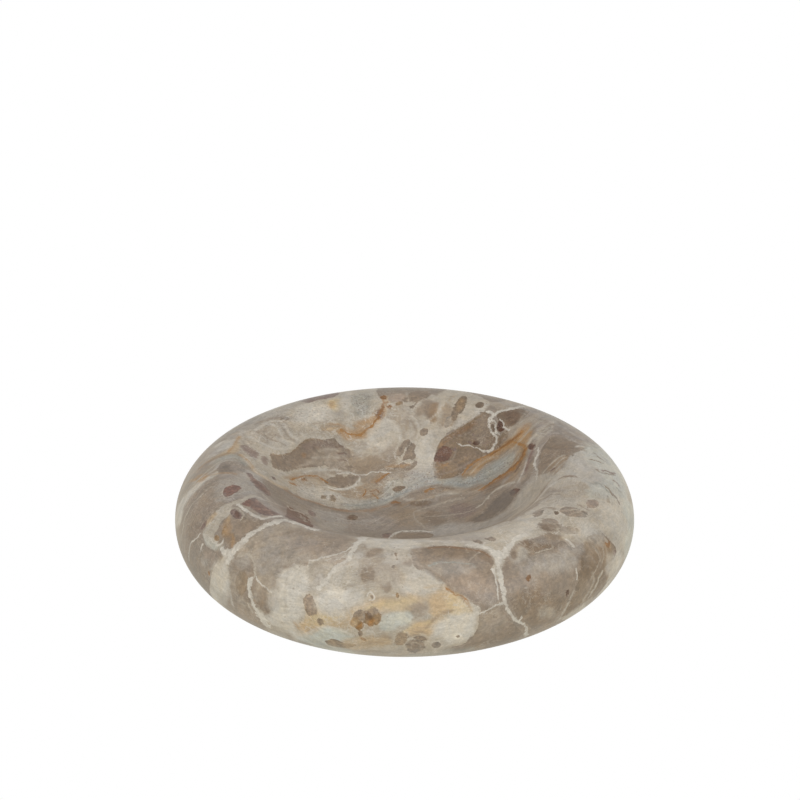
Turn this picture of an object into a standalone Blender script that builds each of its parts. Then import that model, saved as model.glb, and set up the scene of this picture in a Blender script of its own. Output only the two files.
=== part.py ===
"""A stone decorative bowl, shaped like a doughnut with a closed middle, on four felt pads.

Run with: blender --background --python part.py
Units are metres, +Z is up, and the origin is the centre of the bowl at table height.
"""

import math

import bpy

# The stone, as turned on a lathe.
OUTER_DIAMETER = 0.300
RIM_THICKNESS = 0.072  # diameter of the rim's round section
DISH_DEPTH = 0.046  # from the crest of the rim to the middle of the dish
FOOT_GRIND = 0.0008  # stone ground off the round underside to make it stand flat

# The felt pads under the foot.
PAD_DIAMETER = 0.020
PAD_THICKNESS = 0.0035
PAD_CIRCLE_DIAMETER = 0.180  # the pads' centres lie on this circle
PAD_EDGE_ROUND = 0.0004
GLUE_FILM = 0.0003  # between the felt and the stone
PAD_COUNT = 4

# How finely curved surfaces are divided.
TURN_STEPS = 96
DISH_STEPS = 9
RIM_INNER_STEPS = 6
RIM_OUTER_STEPS = 11
RIM_UNDER_STEPS = 9
PAD_SIDES = 40

# Sizes that follow from those above.
RIM_RADIUS = RIM_THICKNESS / 2
CREST_RADIUS = OUTER_DIAMETER / 2 - RIM_RADIUS
FOOT_HEIGHT = PAD_THICKNESS + GLUE_FILM
RIM_CENTRE_HEIGHT = FOOT_HEIGHT + RIM_RADIUS - FOOT_GRIND
CREST_HEIGHT = RIM_CENTRE_HEIGHT + RIM_RADIUS
DISH_FLOOR_HEIGHT = CREST_HEIGHT - DISH_DEPTH

MERGE_DISTANCE = 0.00001
SHARP_ANGLE = math.radians(40)


def clear_scene():
    """Removes whatever the file opened with."""
    for obj in list(bpy.data.objects):
        bpy.data.objects.remove(obj)


def make_collection(name):
    """Adds a collection to the scene, to hold the bowl."""
    collection = bpy.data.collections.new(name)
    bpy.context.scene.collection.children.link(collection)
    return collection


def move_to(obj, collection):
    """Takes an object out of the collections it is in and puts it in this one."""
    for old in list(obj.users_collection):
        old.objects.unlink(obj)
    collection.objects.link(obj)


def make_material(name, colour, roughness):
    """A plain non-metallic finish."""
    material = bpy.data.materials.new(name)
    material.use_nodes = True
    shader = material.node_tree.nodes["Principled BSDF"]
    shader.inputs["Base Color"].default_value = (*colour, 1)
    shader.inputs["Roughness"].default_value = roughness
    shader.inputs["Metallic"].default_value = 0
    material.diffuse_color = (*colour, 1)
    return material


def dish_sphere_radius():
    """Radius of the sphere that is the dish: centred over the axis, it touches the rim's round from inside."""
    drop = DISH_FLOOR_HEIGHT - RIM_CENTRE_HEIGHT
    return (CREST_RADIUS**2 + drop**2 - RIM_RADIUS**2) / (2 * DISH_DEPTH)


def arc(centre_r, centre_z, radius, start, end, steps):
    """Points (r, z) along an arc. Angles are turned from the outward direction towards up."""
    points = []
    for i in range(steps + 1):
        angle = start + (end - start) * i / steps
        points.append((centre_r + radius * math.cos(angle), centre_z + radius * math.sin(angle)))
    return points


def bowl_profile():
    """Half section of the stone, from the middle of the dish over the rim to the middle of the foot."""
    sphere = dish_sphere_radius()
    sphere_height = DISH_FLOOR_HEIGHT + sphere
    # The dish meets the rim where the line between the two centres crosses both rounds.
    join = math.atan2(sphere_height - RIM_CENTRE_HEIGHT, -CREST_RADIUS)
    dish = arc(0, sphere_height, sphere, -math.pi / 2, join - math.pi, DISH_STEPS)
    crest = math.pi / 2
    foot_edge = -math.asin(1 - FOOT_GRIND / RIM_RADIUS)
    rim = (CREST_RADIUS, RIM_CENTRE_HEIGHT, RIM_RADIUS)
    inner = arc(*rim, join, crest, RIM_INNER_STEPS)
    outer = arc(*rim, crest, 0, RIM_OUTER_STEPS)
    under = arc(*rim, 0, foot_edge, RIM_UNDER_STEPS)
    return dish + inner[1:] + outer[1:] + under[1:] + [(0, FOOT_HEIGHT)]


def turn_stone(collection, material):
    """The bowl's body: its half section turned about the axis."""
    points = bowl_profile()
    mesh = bpy.data.meshes.new("stone_bowl")
    mesh.from_pydata([(r, 0, z) for r, z in points], [(i, i + 1) for i in range(len(points) - 1)], [])
    stone = bpy.data.objects.new("stone_bowl", mesh)
    collection.objects.link(stone)
    stone.data.materials.append(material)

    turn = stone.modifiers.new("turn", "SCREW")
    turn.axis = "Z"
    turn.angle = 2 * math.pi
    turn.steps = TURN_STEPS
    turn.render_steps = TURN_STEPS
    turn.use_merge_vertices = True
    turn.merge_threshold = MERGE_DISTANCE
    turn.use_smooth_shade = True
    return stone


def cut_felt_pad(name, bearing, parent, collection, material):
    """One felt disc, glued under the foot at this bearing about the bowl's axis."""
    bpy.ops.mesh.primitive_cylinder_add(
        vertices=PAD_SIDES,
        radius=PAD_DIAMETER / 2,
        depth=PAD_THICKNESS,
        location=(
            PAD_CIRCLE_DIAMETER / 2 * math.cos(bearing),
            PAD_CIRCLE_DIAMETER / 2 * math.sin(bearing),
            PAD_THICKNESS / 2,
        ),
        rotation=(0, 0, bearing),
    )
    pad = bpy.context.object
    pad.name = name
    pad.data.name = name
    pad.data.materials.append(material)
    move_to(pad, collection)
    pad.parent = parent

    edge = pad.modifiers.new("soft_edge", "BEVEL")
    edge.width = PAD_EDGE_ROUND
    edge.segments = 2
    edge.limit_method = "ANGLE"
    pad.data.shade_smooth()
    pad.data.set_sharp_from_angle(angle=SHARP_ANGLE)
    return pad


def build():
    """Makes the whole bowl."""
    clear_scene()
    collection = make_collection("stone_decorative_bowl")
    stone_finish = make_material("honed_stone", (0.42, 0.37, 0.32), 0.45)
    felt_finish = make_material("grey_felt", (0.13, 0.12, 0.11), 0.95)

    turn_stone(collection, stone_finish)

    pad_ring = bpy.data.objects.new("pad_ring", None)
    collection.objects.link(pad_ring)
    for number in range(PAD_COUNT):
        bearing = 2 * math.pi * (number + 0.5) / PAD_COUNT
        cut_felt_pad(f"felt_pad_{number + 1}", bearing, pad_ring, collection, felt_finish)


build()
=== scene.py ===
"""The looks of a stone decorative bowl: a doughnut of veined marble with a closed middle, on felt pads.

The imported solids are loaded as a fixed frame, and each piece made here stands for one of them.
Lengths are metres and +Z is up. The photograph was taken looking along +Y, down on the bowl.
"""

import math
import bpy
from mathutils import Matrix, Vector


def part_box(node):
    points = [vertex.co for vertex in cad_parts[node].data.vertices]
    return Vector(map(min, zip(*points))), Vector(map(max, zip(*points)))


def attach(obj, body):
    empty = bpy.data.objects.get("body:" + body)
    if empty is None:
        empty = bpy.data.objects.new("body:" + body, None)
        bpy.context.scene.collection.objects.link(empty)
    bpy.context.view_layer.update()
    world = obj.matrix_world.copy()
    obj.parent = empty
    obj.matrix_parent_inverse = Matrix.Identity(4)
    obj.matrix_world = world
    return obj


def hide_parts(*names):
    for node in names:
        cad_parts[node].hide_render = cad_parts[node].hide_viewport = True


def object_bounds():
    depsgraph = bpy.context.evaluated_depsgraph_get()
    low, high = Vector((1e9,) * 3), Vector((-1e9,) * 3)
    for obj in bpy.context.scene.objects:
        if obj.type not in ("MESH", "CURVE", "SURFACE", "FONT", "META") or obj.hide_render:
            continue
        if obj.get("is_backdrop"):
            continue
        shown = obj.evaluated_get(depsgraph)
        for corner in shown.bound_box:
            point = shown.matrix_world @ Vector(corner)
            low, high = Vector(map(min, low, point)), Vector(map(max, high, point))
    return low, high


bl_info = {
    "name": "Stone Decorative Bowl",
    "version": (1, 0, 0),
    "blender": (4, 5, 0),
    "location": "View3D > Sidebar > Stone Bowl",
    "description": "Models a doughnut-shaped bowl of veined marble, its felt pads and its studio",
    "category": "Add Mesh",
}

import bpy
import numpy as np
from bpy.props import FloatProperty, FloatVectorProperty, IntProperty, PointerProperty
from mathutils import Vector

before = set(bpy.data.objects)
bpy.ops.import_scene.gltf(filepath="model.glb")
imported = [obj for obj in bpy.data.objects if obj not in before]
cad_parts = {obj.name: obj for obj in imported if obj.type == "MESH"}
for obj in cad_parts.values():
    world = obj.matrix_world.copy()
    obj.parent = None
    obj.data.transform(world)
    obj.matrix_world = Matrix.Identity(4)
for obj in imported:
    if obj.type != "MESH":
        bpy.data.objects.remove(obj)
CAD_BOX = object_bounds()
STONE_LOW, STONE_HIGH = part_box("stone_bowl")
PAD_NODES = sorted(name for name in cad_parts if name.startswith("felt_pad"))
PAD_BOXES = [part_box(name) for name in PAD_NODES]
BODY = "root"

MM = 0.001
TURN = 2 * math.pi

# The camera that took the photograph, and the place on the photograph that it is aimed at.
PHOTO_SIDE = 800
CAMERA_ELEVATION = math.radians(27.14)
CAMERA_DISTANCE = 1.44
AIM_PIXEL = (404.6, 512.65)
PIXELS_PER_METRE = 1523.4
PIXEL = 1 / PIXELS_PER_METRE
SENSOR = 36.0
FOCAL_PIXELS = PIXELS_PER_METRE * CAMERA_DISTANCE

# How finely the stone is divided.
COLUMNS = 660
ROWS = 146
NEAR_COLUMN_SHARE = 0.42

# How finely a felt pad is divided, and its uneven cut: the size and depth of the dents in millimetres.
FELT_COLUMNS = 72
FELT_CORNER_STEPS = 5
FELT_FLAT_STEPS = 7
FELT_WAVE = 1.2
FELT_DENT = 0.12

# Finding where the camera's rays meet the stone.
MARCH_STEPS = 160
MARCH_START = 1.5  # the stone's radii from the axis to where the rays start
TOUCH = 1e-6
LANDING = 4 * MM  # a place is seen where a ray sent back to it lands nearer than this
RIM_LOWEST_ANGLE = -math.pi / 2 - 0.2  # a point on the rim's round lies above this

# Marks drawn on the stone.
CURVE_STEPS = 5  # from one of a mark's points to the next
LEAST_SQUARE = 1e-16  # of the length of such a step
REACH = 0.010  # distances are kept this far out from a mark
FAR = 0.020  # stands for anything farther
EDGE_WANDER = 0.5  # of a wash's softness
STROKE_WANDER = 0.35  # of a stroke's half width
STROKE_TAPER = 0.3  # how fast a stroke narrows past its ends
WIDEST_CAST = 2.0  # a line's width on the stone, over the width that faces the camera
PORE_WANDER = 2 * MM
PORE_SOFTNESS = 3 * MM
LINE_CHANNELS = 7
LINE_SPACE = 0.005  # between two veins in one channel
LINE_TAPER = 1.5  # how fast a vein narrows past its ends
LINE_FADE = 3.0  # how fast its half width falls away beside it
VEIN_WOBBLE = 3 * MM  # how far the material's fine noise moves a vein
VEIN_WANDER = 5 * MM  # how far its broad noise does

# Smooth random waves: how many are added up, how their rates vary, and what brings the sum within about 1.
WAVE_COUNT = 16
WAVE_RATES = (0.6, 1.5)
WAVE_SUM = 1.4
RAGGED_WAVES = ((9, 1, 0.6), (4, 2, 0.4))  # for the marks' edges: size in millimetres, seed, share

# The layers of fragments over the ground, from the bottom up, each with the colour that fills its gaps.
LAYERS = (("ground", "mushroom"), ("matrix", "cream"), ("plates", "taupe"), ("chips", "plum"))

# The guide line's streaks are strongest on it, and end this far away.
FLOW_NEAR = 0.014
FLOW_FAR = 0.045

# How fast the streaks' noise changes along the guide line, across it and round the bowl.
FLOW_ALONG = 14
FLOW_ACROSS = 260
FLOW_ROUND = 7
SWIRL_SIZE = 50  # millimetres
SWIRL_SWAY = 3  # millimetres
SWIRL_SEED = 3

# The studio: the gloss it puts on everything, and the light from around.
GLOSS_LIGHT = 0.04
DARKEST = 0.01  # of any colour, with the gloss taken off
FLOOR_SHADE = (0.1, 0.5, 0.78)  # between these distances the floor's light rises from this share
FLOOR_TINT = (1.0, 0.99, 0.9, 1.0)  # of the light that the floor throws on the bowl
SURROUNDING_LIGHT = 0.6

# Soft lamps: name, place, width, power in watts.
LAMPS = (
    ("overhead", (0.0, 0.1, 1.7), 1.6, 7.0),
    ("front_left", (-1.1, -1.5, 0.8), 0.8, 9.0),
    ("front_right", (1.3, -1.2, 0.8), 0.7, 7.0),
)

# The marks that the photograph shows, as rows of text: a mark's name, side, colour, numbers, and points in
# the photograph's pixels. A line that starts with a space carries on the row above. The side is open where
# the camera sees the whole mark, dish where the near lip hides some of it, and rim where it goes over the
# near lip. Softness and width are in pixels, and strength is a share.

# The ground under everything, washed on softly and in order: softness, strength, outline.
GROUND = """
left_flank open fawn 6 .8 174,520 180,492 198,468 222,444 240,430 244,452 226,462 208,478 194,498 188,520
 186,545 178,540
left_lower_flank open taupe 6 .9 188,500 210,482 226,482 240,492 226,502 214,514 204,526 200,540 190,560
 182,545
left_inner_wall open dusk 5 .95 220,476 236,472 250,474 262,482 276,492 296,504 318,513 345,518 380,515
 410,512 425,525 400,535 360,535 320,530 290,520 262,516 244,500 226,500
left_inner_grey open mushroom 4 .9 254,474 268,480 284,490 300,500 318,507 316,514 296,510 284,506 272,498
 260,488
dish_floor dish floor 6 .95 300,508 322,510 345,514 375,514 398,506 420,508 440,506 476,496 508,486 530,478
 528,492 512,506 490,521 460,532 420,538 370,537 330,528 306,518
dish_floor_olive dish umber 9 .5 392,508 412,508 420,524 404,530 386,524
dish_floor_grey dish lilac 9 .35 430,530 460,524 490,514 506,514 480,528 450,536
dish_right_band dish umber 7 .7 440,507 458,502 476,499 486,493 498,487 508,484 524,480 520,490 512,502
 498,512 478,520 456,522
far_rim open mushroom 4 .9 376,386 430,386 462,387 495,394 530,404 556,415 580,430 604,448 590,452 566,440
 540,424 520,410 500,402 470,396 440,396 410,395 380,393
upper_right open dusk 6 .85 520,404 545,412 570,424 600,446 584,452 560,462 540,480 520,486 500,484 520,462
 530,446 536,430 528,418
upper_right_lilac open lilac 6 .7 542,412 560,420 584,434 600,448 580,448 560,432
right_inner_wall open fawn 4 .85 516,500 530,488 540,482 556,486 548,497 534,508 516,518 498,525 486,528
 500,514
lower_front rim taupe 5 .9 186,560 230,556 300,530 360,537 420,545 500,550 560,560 600,560 590,600 540,640
 470,660 380,668 300,650 240,618 200,592
lip_band dish lilac 4 .85 428,533 446,523 470,525 496,517 516,501 534,486 544,478 540,492 522,508 498,523
 470,532 440,537
dish_left_lilac dish dusk 8 .8 300,510 330,514 350,520 350,530 320,528 300,520
dish_brown dish tawny 8 .7 388,514 410,508 436,512 430,524 408,526 392,522
"""

# The pale matrix, with ragged but sharp edges: outline.
MATRIX = """
upper_matrix open cream 238,437 244,428 263,415 293,400 320,392 350,387 376,385 378,396 388,402 406,402
 421,400 437,394 455,390 475,395 490,402 487,408 480,414 466,423 452,430 443,437 437,448 434,462 433,474
 440,481 426,486 412,489 400,495 392,499 380,504 362,508 345,509 330,507 318,503 300,497 290,491 284,487
 275,484 262,477 252,469 246,462 241,454 239,446
far_right_thread open fawn 488,402 500,402 516,402 532,406 520,409 508,410 498,411
right_matrix open cream 566,461 570,455 577,451 590,449 603,449 614,456 628,474 637,495 639,519 637,537
 631,555 622,572 610,590 594,606 570,622 556,630 560,620 572,611 584,603 592,597 600,590 606,578 610,570
 613,560 617,551 611,541 600,533 590,532 580,534 568,536 558,535 546,534 534,538 524,540 514,548 504,556
 492,552 484,544 494,534 506,524 520,516 536,506 548,497 556,490 548,486 544,480 552,476 560,470 565,466
front_matrix rim cream 276,575 283,568 292,565 300,563 306,566 310,561 318,559 330,556 345,552 352,547
 356,541 362,536 380,531 404,533 430,533 455,531 475,528 490,523 505,517 520,530 520,541 511,551 505,560
 503,568 502,577 499,582 496,578 492,567 494,562 489,555 480,550 460,547 436,546 425,548 413,548 412,557
 415,566 426,571 436,577 447,586 453,592 460,594 468,597 472,602 480,608 480,620 477,632 470,642 455,649
 430,655 400,660 360,656 330,650 310,644 295,638 280,630 268,623 259,618 254,609 258,606 266,614 271,610
 274,600 276,588
fork_loop rim cream 232,502 222,507 217,512 215,518 209,523 205,528 203,535 205,541 209,547 215,550 221,552
 218,560 214,567 211,576 210,588 212,598 218,600 226,596 230,585 229,574 229,565 232,558 232,552 228,550
 225,544 222,541 217,541 214,538 215,533 218,529 220,523 224,519 229,515 232,508
shoulder_pale open fawn 206,456 218,446 232,437 234,444 228,450 216,455 208,462
"""

# Stains and lights on the ground and the matrix: softness, strength, outline.
# The bone wash on the front left is partly pale stone and partly a painted highlight: the lamps' soft haze
# on the rim.
TINTS = """
upper_left_fawn open fawn 5 .45 246,430 262,420 284,412 292,430 276,444 256,442
upper_left_bone open bone 5 .5 296,408 310,404 328,406 326,418 310,424 294,420
upper_left_low open bone 5 .35 270,440 288,436 300,432 306,436 294,446 280,450
upper_slate open slate 5 .5 350,396 358,392 370,391 372,404 368,416 354,417 349,406
rust_glow open amber 3.5 .7 340,426 352,428 358,422 368,418 376,414 382,408 386,410 380,420 372,430 362,437
 352,439 344,434
rust_glow_left open tan 3 .5 322,426 334,423 344,425 342,432 328,432
rust_glow_top open ochre 3 .7 382,402 386,396 390,404 386,412 380,416
rust_dark open cinnamon 2.5 .8 375,415 378,411 383,409 384,414 379,419
ochre_spot open honey 2 .95 328,403 331,400 336,400 337,405 334,409 330,408
ochre_spot_halo open honey 4 .4 314,403 328,399 340,399 338,410 326,408
cream_middle open bone 7 .55 366,434 380,424 396,428 400,440 388,450 370,446
below_middle open tawny 5 .85 346,452 360,456 380,456 394,460 396,466 388,472 372,473 356,474 344,470
column_bone open bone 4 .6 418,440 430,434 434,448 432,466 420,468 416,454
column_top_fawn open umber 3 .8 417,408 424,400 433,400 437,404 435,416 429,419 424,416 417,416
column_brown open tan 2 .9 430,421 429,412 432,404 437,404 437,413 435,421
corner_fawn open fawn 5 .7 388,404 404,404 412,412 408,426 396,424 388,414
between_fawn open tawny 3 .8 442,414 446,404 454,410 456,422 446,428 440,424
between_bone open bone 3 .45 456,424 470,414 484,404 490,404 480,413 464,424
band_ochre open tan 4 .55 356,489 366,484 378,478 388,474 386,482 384,492 372,497 358,496
band_bone open bone 4 .4 298,484 316,488 330,492 344,494 340,500 318,498 300,492
band_speckled open mushroom 5 .7 404,474 420,470 434,474 438,482 424,486 408,488
band_slate open slate 3.5 .85 346,507 362,502 380,498 392,492 402,486 414,482 430,480 446,477 462,477
 478,471 492,463 506,457 515,457 512,463 500,471 487,479 470,487 452,488 436,485 424,485 412,490 400,497
 386,503 366,508
below_slate open umber 3 .7 411,492 424,488 436,487 446,490 436,494 422,497 412,498
slate_tan open tan 3 .9 462,476 470,468 480,460 492,455 504,449 516,442 524,434 529,428 531,434 526,442
 516,448 504,456 490,462 478,470 468,477
slate_low_tan open tan 3 .85 520,446 527,446 525,456 519,465 512,472 500,479 487,487 474,494 462,493 448,491
 440,490 450,488 464,490 478,486 492,478 506,470 515,460
corner_honey open amber 3 .75 521,436 520,430 526,426 532,428 531,436 525,439
shoulder_ochre open ochre 3 .75 222,454 232,446 235,438 239,436 240,446 236,452 226,457
shoulder_spot open rust 2 .55 200,479 202,475 206,475 206,479 202,481
shoulder_slate open slate 2.5 .85 212,465 219,458 230,454 240,457 248,465 244,466 238,460 228,459 220,462
flank_cream open bone 3 .7 174,520 179,504 189,491 200,481 212,474 220,470 219,474 206,482 194,493 184,507
 180,524
flank_taupe open mushroom 3 .5 178,500 186,484 200,468 216,458 214,463 200,474 188,490
right_bone open bone 8 .4 606,480 622,486 630,512 624,544 606,524 600,500
right_fawn open fawn 6 .6 546,494 560,484 580,482 596,490 580,498 560,502 546,504
right_low_bone open bone 5 .4 520,520 540,514 540,530 520,538 506,540
crest_grey rim cream 4 .7 428,530 460,530 486,524 500,520 488,534 460,538 430,538
front_glow rim bone 5 .75 278,580 284,570 296,566 305,570 307,584 303,596 296,606 284,600 277,592
front_low_fawn rim bone 5 .7 264,616 280,610 296,616 298,632 284,632 270,624
front_upper_fawn rim fawn 5 .9 352,552 366,542 390,544 410,550 412,560 404,572 392,580 376,584 360,582
 352,566
front_streaks rim bone 4 .5 324,582 336,570 350,556 362,552 358,566 348,580 334,592
front_bone rim bone 3.5 .75 398,580 410,572 424,571 434,577 444,586 440,592 424,592 406,592
front_ochre_left rim ochre 5 .75 296,626 306,616 318,608 332,610 345,608 358,604 362,612 352,622 340,628
 322,627 310,632 300,635
front_ochre_middle rim ochre 5 .7 366,604 380,598 396,596 420,596 430,600 414,606 392,610 376,610
front_ochre_right rim ochre 3.5 .85 428,604 434,592 444,588 452,594 460,598 464,606 458,612 444,614 434,616
front_honey_left rim honey 4 .7 306,622 314,614 326,614 334,620 324,627 312,629
front_honey_right rim ochre 3 .9 408,631 414,624 424,621 432,623 432,632 422,635 412,635
front_honey_band rim ochre 3 .6 426,622 434,615 448,611 446,614 436,619 430,626
front_smear rim taupe 3.5 .75 402,606 412,602 424,602 430,606 424,613 412,614 404,611
front_frost_left rim frost 1.4 .95 297,638 310,634 318,629 332,627 346,631 354,637 340,641 328,643 322,647
 308,643
front_frost_right rim frost 1.8 .75 380,622 386,615 398,612 410,613 412,622 400,626 390,631 380,629
front_blob rim bone 5 .9 432,624 446,616 462,614 477,618 476,628 464,640 450,642 440,638 433,632
front_shade rim ochre 3 .5 424,630 432,621 442,616 446,618 436,626 430,634
front_bottom rim fawn 4 .7 350,650 390,650 440,648 470,644 470,654 420,660 352,656
column_fawn rim cream 3 .6 224,560 230,558 230,570 226,578 222,570
loop_green rim frost 3 .6 204,536 208,540 218,545 222,548 214,550 206,544
fork_top_fawn rim fawn 3 .7 230,504 242,502 250,508 246,512 236,508
soft_top_1 rim umber .8 .8 364,546 367,542 373,540 375,543 370,545 366,548
soft_top_2 rim umber .9 .85 366,555 371,550 378,548 384,550 378,554 369,558
soft_lobe_1 rim umber .9 .85 362,581 361,573 365,567 368,573 367,581
soft_lobe_2 rim umber .9 .8 367,579 367,570 370,566 374,570 375,580 371,581
soft_lobe_3 rim taupe 1.4 .85 380,584 383,578 387,578 391,586 388,593 383,590
soft_lobe_4 rim taupe 1.2 .85 401,562 405,557 411,559 412,565 405,566
left_lobe open bone 3 .9 205,455 214,446 226,440 233,441 230,447 220,451 210,458
mist_right open mist 6 .85 562,456 574,450 590,448 606,456 618,474 624,496 606,492 590,484 574,480 566,470
shoulder_pale open lilac 4 .8 238,474 248,470 262,478 258,492 246,494 238,488
glow_under open amber 2.5 .85 338,430 352,433 366,430 366,437 353,441 340,436
lens_round open tan 2.5 .9 484,460 494,450 506,442 516,433 524,432 528,444 525,457 517,468 506,476 499,475
 510,465 517,452 508,449 498,455 490,462
lens_under open fawn 2 .6 444,490 460,488 474,490 484,485 480,493 462,495 446,494
column_side open tawny 4 .6 370,463 384,452 396,444 399,460 390,470 374,471
band_tan open tan 4 .4 288,476 300,472 322,472 330,482 318,486 296,486
crest_bone rim bone 3 .8 366,540 384,539 410,540 420,546 400,550 378,548 366,546
crest_dusk rim dusk 3 .7 426,538 450,538 474,536 484,538 470,541 440,543
dish_fawn open tawny 3 .6 361,479 368,475 378,474 386,474 382,480 372,484 363,483
ochre_low open tan 2.5 .5 340,494 350,490 364,488 380,490 384,496 366,499 348,498
flank_lilac open lilac 5 .7 216,484 226,478 240,478 250,484 252,496 240,496 226,502 214,500
band_slate_left open slate 3 .6 384,490 392,480 404,480 408,488 398,496 386,502
band_slate_right open slate 3 .5 408,480 414,474 426,470 438,472 438,482 424,486 410,486
disc_low_shade open umber 3 .4 385,449 396,446 399,455 393,462 381,460
tail_shade open umber 2 .7 330,465 346,466 352,471 341,475 328,473
lip_bone rim bone 4 .5 384,547 398,545 409,550 411,558 398,563 386,563
disc_foot_shade open umber 2.5 .5 389,450 398,448 401,456 394,462 387,458
band_blue open blue 3 .5 405,481 411,475 420,474 425,482 417,488 407,488
"""

# Soft strokes on the ground and the matrix: softness, width, strength, path.
# The bone stroke along the lower right edge is a painted sheen where the rim turns away from the camera.
STROKES = """
flank_line_1 open fawn 2 2 .7 181,486 192,471 206,457 222,444 236,433
flank_line_2 open lilac 2 2.5 .7 200,456 216,441 236,427 262,414 290,403
flank_line_3 open ochre 1.5 1.5 .5 206,462 217,456 228,451 235,444
flank_line_4 open ochre 1.5 1.2 .5 220,439 228,436 236,434
flank_line_5 open mushroom 2 2 .6 180,530 184,514 191,502 201,492 214,482
flow_1 open fawn 2 2 .7 256,430 268,431 280,436 292,440 300,434
flow_2 open taupe 1.5 1.2 .6 254,434 262,431 272,435 284,436
flow_3 open taupe 1.5 1.5 .6 262,422 274,418 284,417 290,420
flow_4 open fawn 2 3 .5 296,430 312,432 330,434 348,442 366,444
flow_5 open taupe 2 1.2 .5 352,448 366,449 382,452 396,456
swirl_1 open fawn 2 2 .8 404,418 412,424 416,432 412,440
swirl_2 open taupe 1.5 1.2 .6 408,414 415,417 419,423 416,428
band_edge open rust 1.8 1.5 .5 284,489 290,493 300,498 310,501 320,504 330,508 340,510 352,511 366,511
 378,509 386,506 396,502
band_edge_top open ochre 2 2.5 .6 241,455 248,462 254,470 264,477 276,484 288,489
slate_line open blue 1.2 1.6 .9 386,500 396,496 406,492 416,488 426,484 440,483
slate_line_2 open blue 1.5 1.5 .7 342,504 356,505 372,503 386,499
slate_line_3 open bone 1.2 1.2 .5 340,500 352,503 366,503 380,500 392,496
slate_line_4 open blue 2.5 3 .7 446,482 462,484 478,478 492,470 506,461
under_slate open cream 1.5 1.6 .8 404,499 412,500 422,500 432,497 444,494 458,494
tan_line open umber 2 2.5 .6 440,500 456,496 470,496 486,489 500,482
upper_streak open fawn 2 2 .8 508,430 520,424 534,416 548,412
upper_streak_2 open cream 1.5 1.5 .7 512,436 524,426 538,418 552,414
upper_streak_3 open cream 2 2 .6 527,444 532,438 541,432 552,424
upper_streak_4 open fawn 2 2.5 .7 520,476 526,466 529,456 531,450
upper_streak_5 open fawn 2 2 .7 508,486 520,478 530,470 534,460
wall_stripe open mushroom 2.5 3 .7 500,520 516,510 532,500 548,492 561,491
wall_stripe_2 open bone 2 2 .5 494,528 510,518 526,508 542,498
wall_stripe_3 open taupe 1.5 1.2 .6 536,506 543,500 552,496 560,494
inner_line open bone 1.5 1.2 .5 254,496 264,500 276,504 286,508
inner_line_2 open mushroom 2 2 .6 262,494 276,500 290,506 306,510
crest_light rim bone 2 3 .5 372,539 400,540 430,541 460,542 484,544
right_rim_light rim bone 3 4 .5 620,560 612,578 600,592 584,608 562,624
"""
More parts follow.
